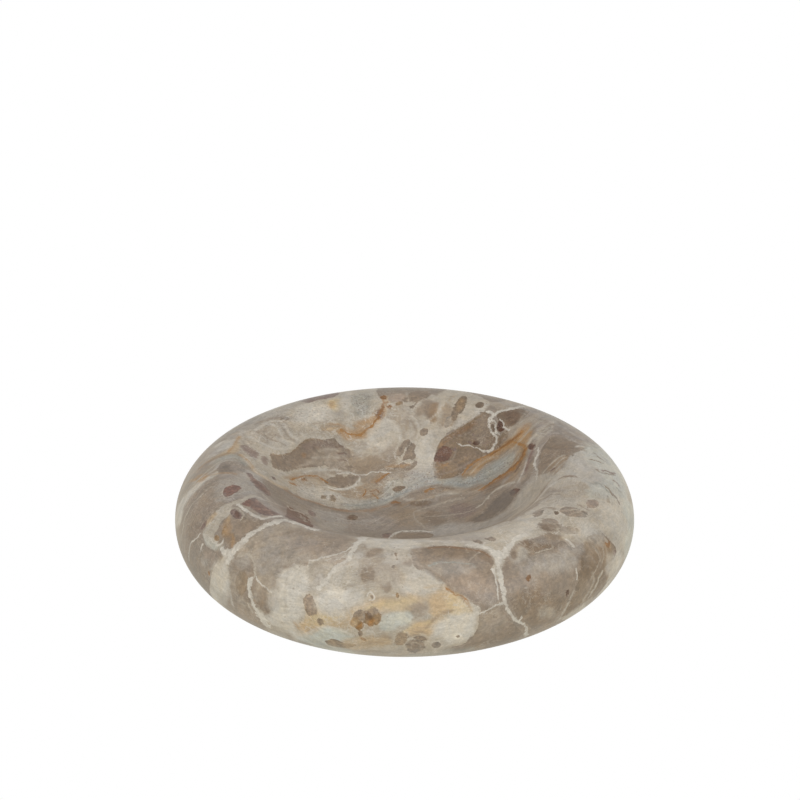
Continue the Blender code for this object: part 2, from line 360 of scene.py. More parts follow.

# Glazes over every layer but the veins: softness, strength, outline.
# Some glazes paint light, not the stone's own colour. Bone on the front left and lilac on the front right
# are painted highlights of the lamps' haze, partly over pale stone. Pale cool washes along the left flank's
# top edge, the right rim and the bottom edge are a painted sheen where the rim turns away. Ash on the far
# side of the dish is painted shade, partly the stone's own darker band.
GLAZES = """
dome_dark open ash 2 .8 218,471 222,466 230,463 240,465 245,469 238,471 226,472
dish_dark dish ash 2.5 .75 472,519 484,512 492,503 500,495 508,489 516,491 512,501 503,511 492,518 480,522
fork_core rim wine 1.2 .8 236,511 239,513 240,517 238,518 235,515
floor_core dish coffee 1.2 .5 348,517 351,516 355,517 353,519 350,519
ring_core rim umber 1.2 .8 412,646 415,644 420,645 421,648 416,649 412,648
end_brown_1 rim bark 1.5 .8 522,545 525,541 530,541 533,546 528,549
end_brown_2 rim bark 1.5 .7 533,547 542,544 552,545 557,548 548,550 538,550
end_brown_3 rim bark 1.5 .8 511,557 511,552 516,550 518,555 515,560
beige_blob rim cream 2 .6 517,552 520,547 526,549 528,555 523,561 518,560
near_wall open plum 4 .45 284,505 296,512 312,522 300,522 288,518 280,512
wall_olive dish bark 4 .6 425,514 432,510 442,514 446,522 436,525 426,522
wall_plum_side open plum 3 .6 452,506 462,503 476,506 474,514 462,518 450,514
under_slate_1 open bark 1.5 .85 408,503 416,501 428,501 433,503 424,507 414,506
dish_brown_1 open bark 2 .7 484,494 488,488 497,482 503,480 500,486 492,492
dish_brown_2 open umber 1.5 .7 498,478 506,472 514,466 518,462 518,468 508,477 500,481
rust_slate_core open bark 1.5 .85 390,504 394,502 400,502 402,505 396,506
rust_wall_core open cinnamon 1.2 .8 300,480 303,478 307,480 304,481
wall_pale dish lilac 3 .8 518,497 526,486 534,480 538,484 530,494 520,504 512,510
wall_fawn dish fawn 3 .7 530,500 538,490 546,486 550,490 542,499 530,508 522,511
plate_corner rim bark 2.5 .6 476,550 484,551 491,557 492,564 486,562 478,556
plate_left rim umber 3 .7 418,552 424,548 434,549 432,560 424,564 417,560
plate_band rim lilac 4 .6 428,564 440,561 462,561 472,566 464,574 444,576 430,572
arm_shade rim dusk 3 .6 482,596 490,592 496,596 496,604 488,606
end_light rim lilac 5 .5 514,562 528,556 548,554 566,552 574,558 560,568 538,572 518,574
end_blob rim fawn 2.5 .8 538,614 541,608 549,606 554,610 551,616 542,618
end_stripe rim fawn 2 .6 586,548 590,541 594,541 596,552 590,556
end_shadow rim umber 2.5 .8 600,546 606,552 607,562 602,566 598,576 590,588 586,584 596,568
fork_plate_side rim umber 3 .75 233,546 236,536 236,524 244,519 266,521 252,532 240,542
fork_honey rim amber 1.5 .55 231,546 230,541 233,536 236,541 234,546
left_plate_grey rim lilac 3 .75 236,566 237,560 244,556 250,558 252,564 246,568 240,568
left_fawn rim fawn 3 .75 231,566 235,572 235,584 238,594 246,600 246,608 238,604 232,594 230,578
left_low_brown rim taupe 3 .8 224,594 230,592 236,602 240,612 228,608 220,602
under_glow rim bone 4 .8 276,594 288,596 300,596 304,612 296,620 278,618 272,608
front_white rim bone 4 .85 318,596 330,590 346,590 352,598 344,608 328,610 318,608
left_brown open bark 3 .35 186,536 188,526 196,522 200,530 194,540
arm_lilac rim lilac 1.5 .6 426,537 446,536 466,536 482,538 466,539 444,539
mottled_pale rim mist 3 .5 310,572 318,566 328,566 322,578 314,582
great_shade open bark 3 .6 452,468 462,460 476,453 484,452 474,462 462,471 452,474
low_fawn rim fawn 3 .6 474,624 482,614 498,612 506,618 500,630 484,634
grape_core_2 rim rust 1.2 .8 357,626 359,623 362,625 361,628 358,628
grape_core_3 rim rust 1.2 .8 369,622 371,619 374,621 372,624
flank_edge open lilac 4 .55 188,470 196,456 212,440 236,424 262,412 300,399 304,404 270,416 244,428 220,442
 204,458 194,474
shoulder_plum_1 open plum 1 .85 240,446 246,445 253,449 259,454 257,459 250,456 244,451
shoulder_plum_2 open plum 1 .8 261,457 265,456 268,460 267,466 263,463
rust_knot open coffee 1.5 .65 376,417 377,411 380,409 382,413 381,418
long_tan open tan 1.5 .7 456,406 461,398 465,400 462,409 457,412
far_right_soft open dusk 4 .7 554,424 572,426 592,442 596,448 580,446 566,438 552,434
far_right_core open bark 5 .4 544,456 552,446 566,444 572,450 560,458 548,466 541,470
hatch_base open tan 2 .6 546,474 550,466 558,459 566,456 566,462 560,469 552,475
crest_dark rim bark 2 .7 540,526 546,523 553,526 556,531 548,532 542,530
crest_under rim tawny 2 .6 542,535 552,533 562,535 568,540 560,541 548,539
end_top_edge rim cream 2.5 .85 562,535 572,534 586,533 590,537 582,543 570,542 562,539
mid_ochre open fawn 4 .7 384,452 392,444 398,440 396,452 390,458
great_grey open taupe 4 .6 474,424 484,417 488,424 490,436 484,446 474,440
clast_soft open fawn 3 .5 316,452 330,448 344,450 346,458 330,460 314,460
lens_inside open fawn 2.5 .6 500,456 508,450 518,446 521,450 514,460 506,470 497,474 503,464
band_plum open plum 2 .6 523,470 526,460 530,452 534,450 531,462 526,474
glow_edge rim fawn 4 .6 268,580 275,572 281,578 280,600 272,606
flank_amber open amber 2 .6 194,480 199,475 207,474 206,479 200,482
loop_ochre rim ochre 2 .6 206,524 210,517 216,512 218,515 212,520 208,526
sliver_core open wine 1.2 .6 252,479 258,482 264,488 268,493 263,491 257,486
bottom_tan rim tawny 2.5 .6 356,643 366,638 380,634 392,636 388,644 370,646
ochre_pale rim bone 4 .65 454,604 464,600 472,606 474,614 462,616 454,612
wall_light dish cream 4 .75 512,508 522,490 532,478 540,474 552,478 556,484 546,492 534,502 520,512
above_lens open fawn 3 .7 508,433 516,426 526,420 540,417 536,424 524,430 512,440
ochre_core open amber 1.5 .6 328,404 331,401 335,403 333,408 329,408
lens_blot_1 open tan 1.5 .7 500,477 505,468 512,461 516,463 510,471 504,478
lens_blot_2 open umber 1.2 .6 498,457 503,452 509,450 507,455 501,459
great_wine open wine 1.2 .8 435,461 437,453 441,448 447,447 451,451 448,457 442,461
cleft_left rim umber 2 .7 226,538 230,534 232,542 231,550 228,546
frost_low rim frost 3 .6 300,644 320,645 350,650 352,656 320,652
long_core open wine 2 .45 246,500 256,501 268,508 276,513 262,514 250,506
fork_amber rim amber 2 .4 222,524 228,518 232,526 230,536 224,532
dish_left_light dish lilac 4 .7 316,509 328,511 342,514 345,520 342,533 326,530 318,526
upper_right_cream open cream 2 .7 534,436 540,428 548,424 556,420 552,427 544,432 538,442
upper_bone open bone 3 .5 296,408 306,403 322,402 330,408 322,418 304,420
slate_side open bone 2 .5 340,400 345,394 351,391 351,402 348,412 342,410
slate_dots open slate 3 .5 353,400 360,394 368,398 369,408 364,416 356,412
under_brown rim umber 2.5 .6 257,592 266,588 273,598 272,610 266,615 260,606
oval_solid rim rose 1.5 .6 304,600 308,595 313,598 316,608 316,613 310,614 305,607
ring_solid rim umber 1 .7 407,645 411,641 418,641 424,645 421,650 412,651
mottled_under rim cream 3 .6 332,572 342,566 354,566 358,578 348,586 334,584
front_bone_2 rim bone 4 .7 340,600 350,592 362,590 364,600 352,608 340,608
left_top_rosy open rose 4 .6 190,468 200,455 212,448 218,452 208,462 196,474
lens_slate open slate 2 .7 478,482 486,470 496,462 506,456 513,452 514,460 508,470 498,478 488,484
grape_base rim tan 1.2 .35 352,618 360,612 372,610 378,618 374,626 362,630 354,626
glow_white rim bone 4 .6 279,580 284,570 294,568 302,574 302,596 290,604 280,598
honey_top rim honey 3 .5 376,606 388,600 402,598 416,600 410,608 390,610
left_low_edge rim fawn 3 .5 262,626 276,628 290,634 300,642 286,640 270,634
glow_band open amber 3 .55 470,470 482,458 496,448 508,440 520,434 524,440 512,446 500,454 486,464 474,476
glow_right open tan 2.5 .65 512,474 518,462 520,450 526,446 527,456 522,468 514,480 504,484
glow_corner open amber 3 .5 515,437 521,427 530,423 533,431 526,441
end_warm rim tan 3 .3 586,540 598,536 610,544 612,556 604,566 592,566 586,554
great_top_dark open coffee 2.5 .4 504,414 512,411 520,414 517,422 509,424
great_low_brown open tan 2.5 .5 434,478 436,468 446,466 458,468 454,476 444,479
left_front_pale rim lilac 5 .5 256,556 268,546 282,552 284,566 272,574 258,572
frost_shadow rim slate 3 .5 296,640 306,637 320,641 330,648 318,648 302,645
speckled_slate open mist 3 .55 407,486 406,476 412,470 424,464 434,466 436,480 424,486 412,492
left_plate_dark rim umber 4 .5 296,536 318,531 340,533 348,540 330,546 306,548
left_plate_edge rim taupe 2.5 .6 318,553 340,546 352,544 347,553 330,559
flank_lilac_edge open lilac 3 .5 196,470 206,458 222,444 240,430 262,417 262,422 240,437 220,452
edge_cool open mist 4 .5 586,446 600,452 616,472 626,496 618,494 604,474 592,458
low_cool rim slate 3 .4 400,656 430,652 470,647 470,651 430,656
end_pale_area rim fawn 3 .25 578,582 584,579 590,583 586,594 578,604 572,600
end_sliver_dark rim bark 1.5 .45 597,588 602,576 607,567 610,571 606,583 600,592
end_core_dark rim bark 4 .4 580,552 590,548 599,554 600,568 592,576 582,572
grape_shade rim coffee 1.2 .5 364,613 368,611 372,616 370,620 365,619
flank_lift rim bone 4 .55 214,566 222,562 228,568 230,582 226,592 214,590 211,578
left_edge_lift rim bone 4 .5 270,590 282,592 288,602 284,616 272,612 266,602
front_lift rim bone 4 .45 318,598 336,600 344,608 336,618 322,616 314,608
end_lift rim bone 3 .5 583,522 594,524 597,534 590,540 582,534
end_lilac rim lilac 3 .55 568,543 580,543 584,551 576,558 566,554
end_rim_lift rim bone 3 .4 607,556 618,552 622,560 614,572 606,574
right_rim_frost open frost 4 .6 624,500 634,508 637,530 634,550 626,562 624,548 628,528 623,510
band_brown open olive 4 .5 352,466 372,464 392,467 410,468 404,477 386,480 368,482 354,476
front_small_shade rim cream 3 .7 400,567 410,569 412,580 404,586 397,578
disc_shade open cream 4 .5 380,426 398,428 402,438 392,446 380,442
disc_clast_shade open umber 1.5 .5 397,450 402,443 406,441 404,448 399,454
upper_brown open bark 2.5 .6 425,405 434,402 436,409 431,420 424,416
shoulder_slate_light open dusk 2 .7 233,463 242,464 247,470 240,473 232,470
floor_dusk dish dusk 5 .6 364,517 384,515 394,520 392,530 376,531 362,525
left_plate_lift rim dusk 5 .55 284,534 304,536 322,541 318,549 300,551 284,545
low_left_pale rim cream 3 .6 264,622 280,627 288,636 276,638
low_ochre rim ochre 3 .65 301,622 316,624 320,631 306,634
bark_dark open bark 2 .5 484,436 496,434 504,440 500,446 488,446
lip_rose rim rose 3 .7 331,556 344,556 350,562 342,566 329,563
lip_fawn rim fawn 3 .4 312,556 322,556 325,562 316,566
front_fawn rim fawn 2 .6 394,572 402,572 405,580 398,585 392,580
front_cream rim cream 2 .6 380,572 389,572 391,580 384,586 378,580
brow_dark rim bark 3 .5 446,546 462,547 466,553 458,558 446,554
right_top_frost open frost 5 .55 584,444 600,447 614,461 624,479 626,497 608,500 590,498 588,488 602,480
 596,468 586,460
end_mist rim mist 3 .45 591,522 602,524 606,536 602,546 594,544 589,532
ochre_lift rim bone 3 .5 328,606 342,610 346,618 338,622 328,616
flank_low_lift rim bone 3 .5 210,590 222,588 229,596 225,606 214,602
end_top_cream rim cream 2.5 .55 561,515 575,517 586,513 585,520 572,524 560,521
end_low_light rim fawn 4 .35 596,494 610,496 604,502 594,500
lip_left_dark rim taupe 4 .5 304,545 318,546 334,541 344,543 332,551 314,555 302,553
grape_side_light rim bone 3 .45 341,607 349,608 350,614 345,620 340,616
front_mid_cream rim cream 4 .4 400,564 414,568 424,576 418,582 406,576
end_low_umber rim umber 2.5 .6 583,600 590,592 599,592 594,603 586,606
right_plate_dark rim bark 5 .45 526,590 540,588 546,597 537,604 527,601
y_side_fawn rim fawn 4 .5 488,603 500,602 506,609 498,614 488,612
low_ochre_band rim ochre 3 .5 343,640 362,637 384,638 391,643 370,648 347,649
lip_left_fawn rim fawn 3 .5 322,554 334,555 341,560 332,566 321,562
flank_fawn rim fawn 3 .5 230,567 238,570 242,580 236,588 230,582
low_left_bone rim bone 3 .35 290,630 304,631 308,638 296,641
honey_right rim honey 3 .6 449,594 460,597 470,606 472,612 462,614 450,613 446,604
"""

# Soft lines over every layer but the veins: softness, width, strength, path.
LINES = """
plate_rim rim cinnamon 1.2 1.2 .6 428,548 444,547 460,548 474,550 483,552 490,557
wall_brown dish umber 1.5 1.5 .8 554,487 548,492 540,500 532,508 522,516
wall_white dish bone 2 2 .6 560,492 550,496 542,503 534,511 524,519
blob_band rim tawny 1.5 2 .8 426,628 431,622 437,617 445,613 452,611
left_streak rim bone 1.5 1.4 .7 226,580 229,588 231,596 233,606
glow_streak rim bone 1.5 1.6 .7 289,624 292,630 296,637
ochre_streak rim amber 1.5 1.6 .6 294,622 300,629 308,631 316,629
end_pale_1 rim fawn 1.2 1 .7 590,538 596,545 600,554 601,566
end_pale_2 rim fawn 1.2 1 .7 594,534 601,541 606,549 608,556
end_pale_3 rim cream 1.2 1.4 .7 583,600 590,590 594,580 592,572
top_lilac open lilac 2 2.4 .7 206,440 222,428 240,419 262,410 284,403
orange_left open amber 1.2 1.2 .7 190,481 200,479 212,475 222,473 236,474
orange_left_2 open amber 1.5 1.6 .8 228,452 233,447 236,441 240,436
dome_line open mist 1.2 1.2 .7 192,484 204,476 214,470 220,463 230,460 240,462
loop_shadow rim plum 1 1.4 .7 200,530 203,525 206,521
wisp_1 open bone 1.2 1.6 .8 252,434 258,428 268,424 277,427 281,434 284,440 292,442
wisp_2 open umber 1.2 1.4 .7 254,431 262,434 270,439 278,442 286,446
wisp_3 open bone 1.2 1.4 .7 250,437 258,441 268,446 280,449 292,447
wisp_4 open taupe 1.2 1.2 .7 256,424 264,420 272,418 280,418
wisp_5 open bone 1 1.2 .8 262,424 272,421 282,421 288,416
wisp_6 open umber 1 1 .7 243,433 246,439 252,444
wisp_7 open umber 1 1 .6 241,439 245,444 251,448
wisp_8 open mushroom 1.5 2 .7 284,429 288,436 294,441
wisp_9 open bone 1.5 2 .7 284,424 288,431 293,437 299,439
tan_left open tan 1.5 2 .6 200,468 208,462 218,457 229,453
rust_shoulder open amber 1 1.2 .8 240,455 245,458 250,463 254,468
clast_rim open tan 1 1.2 .7 272,454 284,455 294,450 302,443 310,439 322,440
dash_1 open wine .8 1.2 .8 336,447 340,446 345,447
dash_2 open wine .8 1.2 .7 338,454 342,453 347,454
dash_3 open wine .8 1.2 .7 338,460 343,460 347,461
gap_1 open cream 1 1.4 .8 318,451 328,449 338,450
gap_2 open cream 1 1.4 .7 312,458 324,457 338,457
gap_3 open fawn 1 1.4 .8 296,467 310,463 326,463 340,464
rust_left_1 open ochre 1.5 2 .8 320,430 330,429 341,429
rust_left_2 open amber 1.2 1.2 .8 330,424 337,424 343,426
rust_over open amber 1.5 1.6 .7 354,426 362,423 370,420 376,415
rust_corner open amber 1.5 1.8 .8 386,468 394,466 402,466 410,464
swirl_a open bone 1.2 1.2 .7 384,420 392,422 398,430 400,440 396,450
swirl_b open tawny 1.2 1.2 .6 388,418 396,420 402,428 404,438
swirl_c open tan 1.5 2 .5 404,434 407,427 408,420
swirl_d open umber 1 1.4 .7 409,419 413,423 416,430
swirl_e open bone 1 1.2 .7 412,416 417,422 419,430 417,438
great_rim open tan 1.2 1.4 .8 438,448 446,438 458,430 472,421 484,413
plum_arc open fawn 1 1 .7 440,464 448,462 454,457 456,450
great_streak_1 open tan 1.2 1.4 .6 436,468 446,467 458,463 468,457
great_streak_2 open taupe 1.2 1.4 .7 438,474 450,472 462,467 474,459
diag_1 open cream 1.2 1.6 .8 516,446 524,436 534,426 548,418 560,414
diag_2 open bark 1.2 1.6 .7 540,432 546,428 553,424
diag_3 open cream 1.2 1.4 .8 528,444 534,436 542,431 552,426
diag_4 open cream 1.2 1.4 .7 534,450 540,440 546,434 552,430
diag_5 open russet 1.2 1.6 .6 526,470 528,462 531,454 533,450
diag_6 open bone 1.2 1.2 .6 518,482 523,472 527,460
diag_7 open umber 1.2 1.6 .6 512,486 519,476 523,466
hatch_1 open cream .8 1 .8 543,473 550,465 558,458 564,455
hatch_2 open cream .8 1 .8 547,475 554,467 561,460 566,457
hatch_3 open cream .8 1 .7 552,475 558,468 565,462
hatch_4 open wine 1 1.6 .8 551,471 553,469 555,468
white_tick open bone 1.2 1.6 .8 576,447 580,446 584,447
brown_tick open umber 1 1.2 .8 577,450 582,450 586,451
streak_right rim taupe 1.2 1.4 .8 540,511 547,508 556,509
top_gap open cream 1 1.4 .8 406,392 408,398 409,404
frost_edge rim bone 1.2 1.6 .8 300,636 310,632 318,628 328,627 340,630 352,636
grape_gap rim cream .8 1 .7 363,609 364,616 363,624 365,631
white_dot rim bone 1 1.6 .8 526,588 528,588
honey_streak_1 rim honey 1.5 2 .8 404,632 412,627 422,624 430,622
honey_streak_2 rim honey 1.5 2 .7 366,609 378,604 392,604 406,600
honey_streak_3 rim honey 1.5 2 .8 312,618 322,616 332,618 342,616
low_streak_1 rim umber 1 1.2 .8 409,637 416,635 424,637 428,639
low_streak_2 rim umber 1 1.2 .7 412,633 420,632 428,634
band_brown open bark 1.5 1.8 .7 430,487 438,485 446,488 454,489
band_tan_1 open tan 1.5 2 .6 332,490 344,492 356,489 366,484
band_tan_2 open tan 1.5 2 .6 344,496 358,498 370,497 380,494
band_tan_3 open tan 1.5 2 .6 284,478 296,477 310,477 322,480
matrix_cream_1 open bone 1.2 1.4 .7 304,472 318,470 334,470 350,472
dark_thread_1 open umber 1 1 .6 356,478 362,474 372,471 384,470
ring_inner rim cream .8 .8 .6 411,647 412,643 417,643 421,646 418,649 413,649 411,647
lens_low_brown open cinnamon 1.5 2.2 .6 482,490 490,485 500,479 510,473 517,467 522,459
arc_soft open mist 2 2.2 .5 210,464 216,460 224,458 234,457 242,459 248,464
left_plate_1 rim fawn 1.5 1.6 .6 242,548 254,540 268,533 284,528 302,525
left_plate_2 rim umber 1.5 1.6 .5 244,552 258,543 272,537 288,533 304,530
left_plate_3 rim fawn 1.5 2 .5 256,560 268,550 282,543 298,538 316,536
left_plate_4 rim umber 1.5 1.6 .5 262,566 276,556 292,549 312,546 330,546
ring_streak open fawn 1.8 2 .75 509,429 516,425 522,418 528,411 534,406
ring_streak_2 open cream 1.2 1 .6 510,429 517,426 523,420
far_1 open lilac 1.5 2 .6 500,402 530,411 556,423 580,438 596,448
far_2 open mushroom 1.5 1.6 .6 520,412 540,419 562,430 584,444
far_3 open cream 1.5 1.4 .5 540,411 562,422 584,436
piece_gap_1 rim cream .8 1 .7 565,508 570,510 576,509 580,511
piece_gap_2 rim cream .8 .8 .7 572,514 578,512 584,514
piece_gap_3 rim cream .8 1 .7 547,521 552,524 558,523
piece_gap_4 rim fawn .8 .8 .6 541,525 546,523 550,527 556,529
rust_orange rim amber 1.8 1.8 .6 446,586 454,593 463,597 469,604
rust_orange_2 rim ochre 1.5 1.6 .6 424,588 434,586 444,585
glow_line_1 rim cream 1.5 1.4 .6 288,572 286,584 285,598 286,612
brown_arc rim tawny 1.5 1.4 .6 412,620 420,616 430,612 442,611 454,610
loop_rust rim tan 1.2 1.2 .5 250,583 252,588 251,594
great_hair_1 open fawn .8 .8 .6 446,440 456,436 466,434 476,428
great_hair_2 open tan .8 .8 .6 462,462 472,459 482,456
upper_hair_1 open umber .8 .8 .6 310,424 322,422 336,420
upper_hair_2 open tawny 1 1 .6 350,446 362,444 376,448
upper_hair_3 open bone 1 1 .7 346,438 360,440 376,438 390,430
column_hair_1 open bone 1 1 .7 424,424 432,418 440,410 452,398
column_hair_2 open tan 1 1 .6 438,414 446,404 454,396
column_hair_3 open fawn 1 1 .7 460,424 472,416 482,410
lens_light_1 open cream .8 1 .7 470,474 478,466 488,459 498,456
lens_light_2 open cream .8 1 .7 500,458 508,452 514,448
lens_light_3 open fawn .8 1 .7 512,468 517,460 520,453
lens_dark_1 open coffee .9 1.2 .7 486,455 494,450 501,446
lens_dark_2 open coffee .9 1.4 .6 515,472 520,464 523,456
glow_line_2 open cinnamon 1.2 1.6 .6 506,443 514,438 521,431 526,425
slate_edge_1 open blue 1.5 1.6 .6 402,494 412,486 424,480 436,477
dish_streak_1 open tan 1.5 1.6 .5 398,508 408,503 420,499 434,497
dish_streak_2 dish lilac 1.5 1.6 .5 322,526 340,524 358,522 376,520
dish_streak_3 dish lilac 1.5 1.4 .5 350,510 366,513 376,519 379,526
near_lip_line rim lilac 1.5 1.4 .5 322,531 340,534 356,537
grape_rust_1 rim rust 1.2 2.6 .8 357,628 360,626 362,623
grape_rust_2 rim rust 1.2 3 .85 369,625 371,622 373,619
grape_amber rim amber 1.5 2.6 .7 351,624 353,620 357,618
grape_gap_2 rim tawny .8 .8 .7 372,608 372,612 371,616
end_net_1 rim fawn .8 .8 .6 584,560 588,556 592,558 596,564
end_net_2 rim fawn .8 .8 .6 582,570 587,566 592,568
end_net_3 rim fawn .8 .8 .6 584,549 588,546 590,551 588,555
dish_rust_core open cinnamon 1.6 2.2 .85 376,483 380,480 384,476 388,472
dish_rust_glow open amber 2.5 3 .5 372,482 377,478 382,474
honey_rust rim rust 1.8 1.6 .5 462,598 468,604 472,611
"""

# Larger fragments: outline.
PLATES = """
shoulder_clast open umber 270,454 276,454 285,455 293,450 300,444 307,439 315,439 323,440 334,438 337,442
 341,446 348,448 352,453 350,460 344,466 338,467 326,466 314,467 300,469 290,471 283,470 274,468 271,462
shoulder_clast_tail open umber 338,470 342,467 350,464 354,468 348,472 341,472
dish_olive open umber 324,482 330,478 340,475 352,476 360,477 359,481 354,485 345,487 338,488 330,486
dome open mushroom 217,472 220,465 226,462 234,462 240,464 246,469 240,472 230,473
middle_clast_low open umber 392,468 398,465 403,462 410,464 417,460 416,466 410,470 402,471 396,470
great_clast open olive 434,466 436,453 440,442 447,436 457,430 471,421 484,413 489,412 489,424 491,431
 497,436 500,434 506,431 511,428 508,436 503,442 498,448 491,451 480,458 471,466 461,474 450,478 434,477
great_clast_right open bark 497,414 504,410 514,409 524,409 529,411 524,417 518,422 511,428 504,426 498,420
far_right_clast open umber 538,474 538,463 540,453 544,445 549,438 556,434 566,436 577,443 588,448 577,452
 567,459 562,462 556,466 551,471 545,474
right_grey open dusk 536,431 545,422 556,420 572,428 590,440 600,448 586,447 570,438 556,432 548,437
right_wall_mottle open taupe 524,470 527,460 533,456 536,462 533,472 528,480 520,484
dish_dark_band dish umber 470,518 482,512 490,502 500,494 510,490 517,492 512,502 503,510 492,518 478,522
 466,522
below_slate_clast open umber 411,502 420,501 431,501 427,505 418,507 412,505
below_slate_clast_2 open umber 426,490 432,488 441,487 445,489 438,492 430,494
top_plum open plum 296,399 310,395 324,391 338,388 338,394 330,398 318,400 306,403
top_clast_1 open umber 408,394 414,392 424,391 430,391 427,396 420,400 412,402
top_clast_2 open rose 389,397 395,394 405,394 406,398 400,402 392,401
lip_strip dish umber 397,534 408,533 428,533 434,535 428,538 412,540 399,539
front_clast rim taupe 412,549 425,548 436,546 448,546 460,547 472,549 480,550 488,554 494,562 492,568
 494,578 497,589 497,600 495,606 485,608 477,605 471,601 467,596 460,594 453,592 447,586 436,577 426,571
 415,566 412,557
right_front_clast rim taupe 504,566 509,559 511,552 517,545 523,541 528,540 536,543 552,545 562,541 570,545
 580,553 579,564 576,574 574,589 569,601 562,614 550,624 534,629 527,623 519,619 512,608 508,600 505,584
 503,573
right_end_clast rim olive 581,552 583,544 588,537 600,533 610,541 616,551 612,560 607,566 603,576 597,590
 590,598 582,603 572,611 562,618 566,608 572,599 576,588 578,574 580,564
right_end_sliver rim umber 606,573 609,570 609,578 603,588 596,596 592,598 599,588
crest_clast rim taupe 539,524 543,519 551,519 558,522 561,527 557,532 548,531 541,528
crest_clast_tail rim fawn 558,530 566,526 575,527 580,531 572,534 562,534
bottom_right rim taupe 450,650 463,644 474,634 478,626 480,612 490,609 500,606 507,616 516,626 523,636
 520,646 496,654 460,660
front_left rim fawn 233,556 239,547 247,540 256,533 266,527 275,524 288,523 298,526 309,530 318,531 340,535
 362,537 352,546 344,551 330,555 318,558 309,560 304,565 292,564 283,567 276,574 274,586 272,596 272,606
 267,614 261,609 256,602 254,594 256,584 255,572 253,560 247,555 240,557
front_left_under rim umber 256,590 262,586 271,592 272,606 267,614 261,609 256,602
mottled rim cream 309,570 309,564 313,561 320,560 331,561 336,565 331,573 326,580 320,586 312,586 309,580
dark_left rim tawny 235,584 237,575 242,570 247,575 248,583 247,590 242,595 237,591
low_left rim taupe 230,590 236,596 243,598 248,596 251,603 255,611 261,621 266,628 250,624 236,615 234,604
far_left rim mushroom 188,562 190,548 198,538 203,541 208,548 216,551 220,554 216,563 212,571 210,582
 209,598 198,588 190,574
fork_plate rim taupe 230,515 243,518 258,520 268,521 275,521 262,526 250,533 240,541 233,549 230,551 227,548
 224,543 222,537 222,530 226,523
"""

# Shading within the larger fragments: softness, strength, outline.
# The lilac wash in the middle of the right front fragment is a painted highlight: the lamps' haze on the
# rim.
SHADES = """
shoulder_plum open plum 3 .4 304,444 316,440 330,441 334,446 318,448 304,450
shoulder_low open fawn 4 .6 306,460 322,456 344,456 350,462 336,467 312,466
shoulder_rust open rust 1.5 .4 302,456 303,453 306,454 305,458
great_tawny open bark 3 .7 435,470 444,465 458,466 466,468 458,475 444,478 434,477
great_edge open cinnamon 2 .5 438,446 446,438 458,431 474,422 478,424 462,433 448,441 441,449
great_middle open bark 4 .7 452,446 466,450 480,454 476,462 462,466 450,462
great_crescent open rust 1.5 .6 436,462 442,464 449,462 447,465 440,466
front_top rim olive 4 .7 424,547 450,546 476,549 488,555 478,560 456,558 428,556
front_rosy rim rose 7 .7 450,584 462,572 484,576 492,590 494,604 474,600 458,592
front_fade rim fawn 5 .6 412,548 422,550 424,566 414,564 411,556
end_olive rim olive 4 .7 520,545 534,542 552,547 548,554 532,556 514,558
end_lilac rim lilac 7 .85 528,568 540,558 556,551 572,552 576,564 566,572 546,574
end_blotch rim fawn 3.5 .8 538,614 542,608 550,608 554,612 548,618 540,618
end_dark rim olive 6 .6 512,592 530,590 560,596 566,600 552,622 536,627 518,614
far_end_lilac rim fawn 4 .5 583,548 590,540 598,546 594,560 584,566
bottom_olive rim olive 4 .6 452,652 476,642 500,634 520,634 518,646 480,656
bottom_rosy rim rose 4 .4 484,616 500,610 510,622 500,632 486,628
left_olive rim umber 6 .6 290,530 318,532 350,537 344,550 316,556 296,548
mottled_grey rim fawn 3 .6 311,566 318,563 326,566 324,576 316,582 310,576
fork_ochre_1 rim ochre 2 .8 225,522 226,516 230,515 229,523
fork_ochre_2 rim tan 2 .85 222,536 222,528 226,524 227,532 234,534 235,542 231,538
fork_rust rim rust 2 .4 232,550 230,546 233,542 235,546
far_left_rosy rim rose 3 .6 204,554 210,552 215,556 211,560 205,559
far_left_grey rim lilac 3 .6 202,562 206,559 208,564 204,566
front_right_beige rim cream 2 .6 508,553 514,547 522,546 528,552 524,560 512,562
front_right_beige_2 rim fawn 3 .6 540,612 545,607 552,610 556,616 548,618
end_top_pale rim cream 3 .7 582,536 594,532 604,536 600,540 590,540
great_low open taupe 3 .5 452,466 462,458 476,452 480,456 468,466 456,472
"""

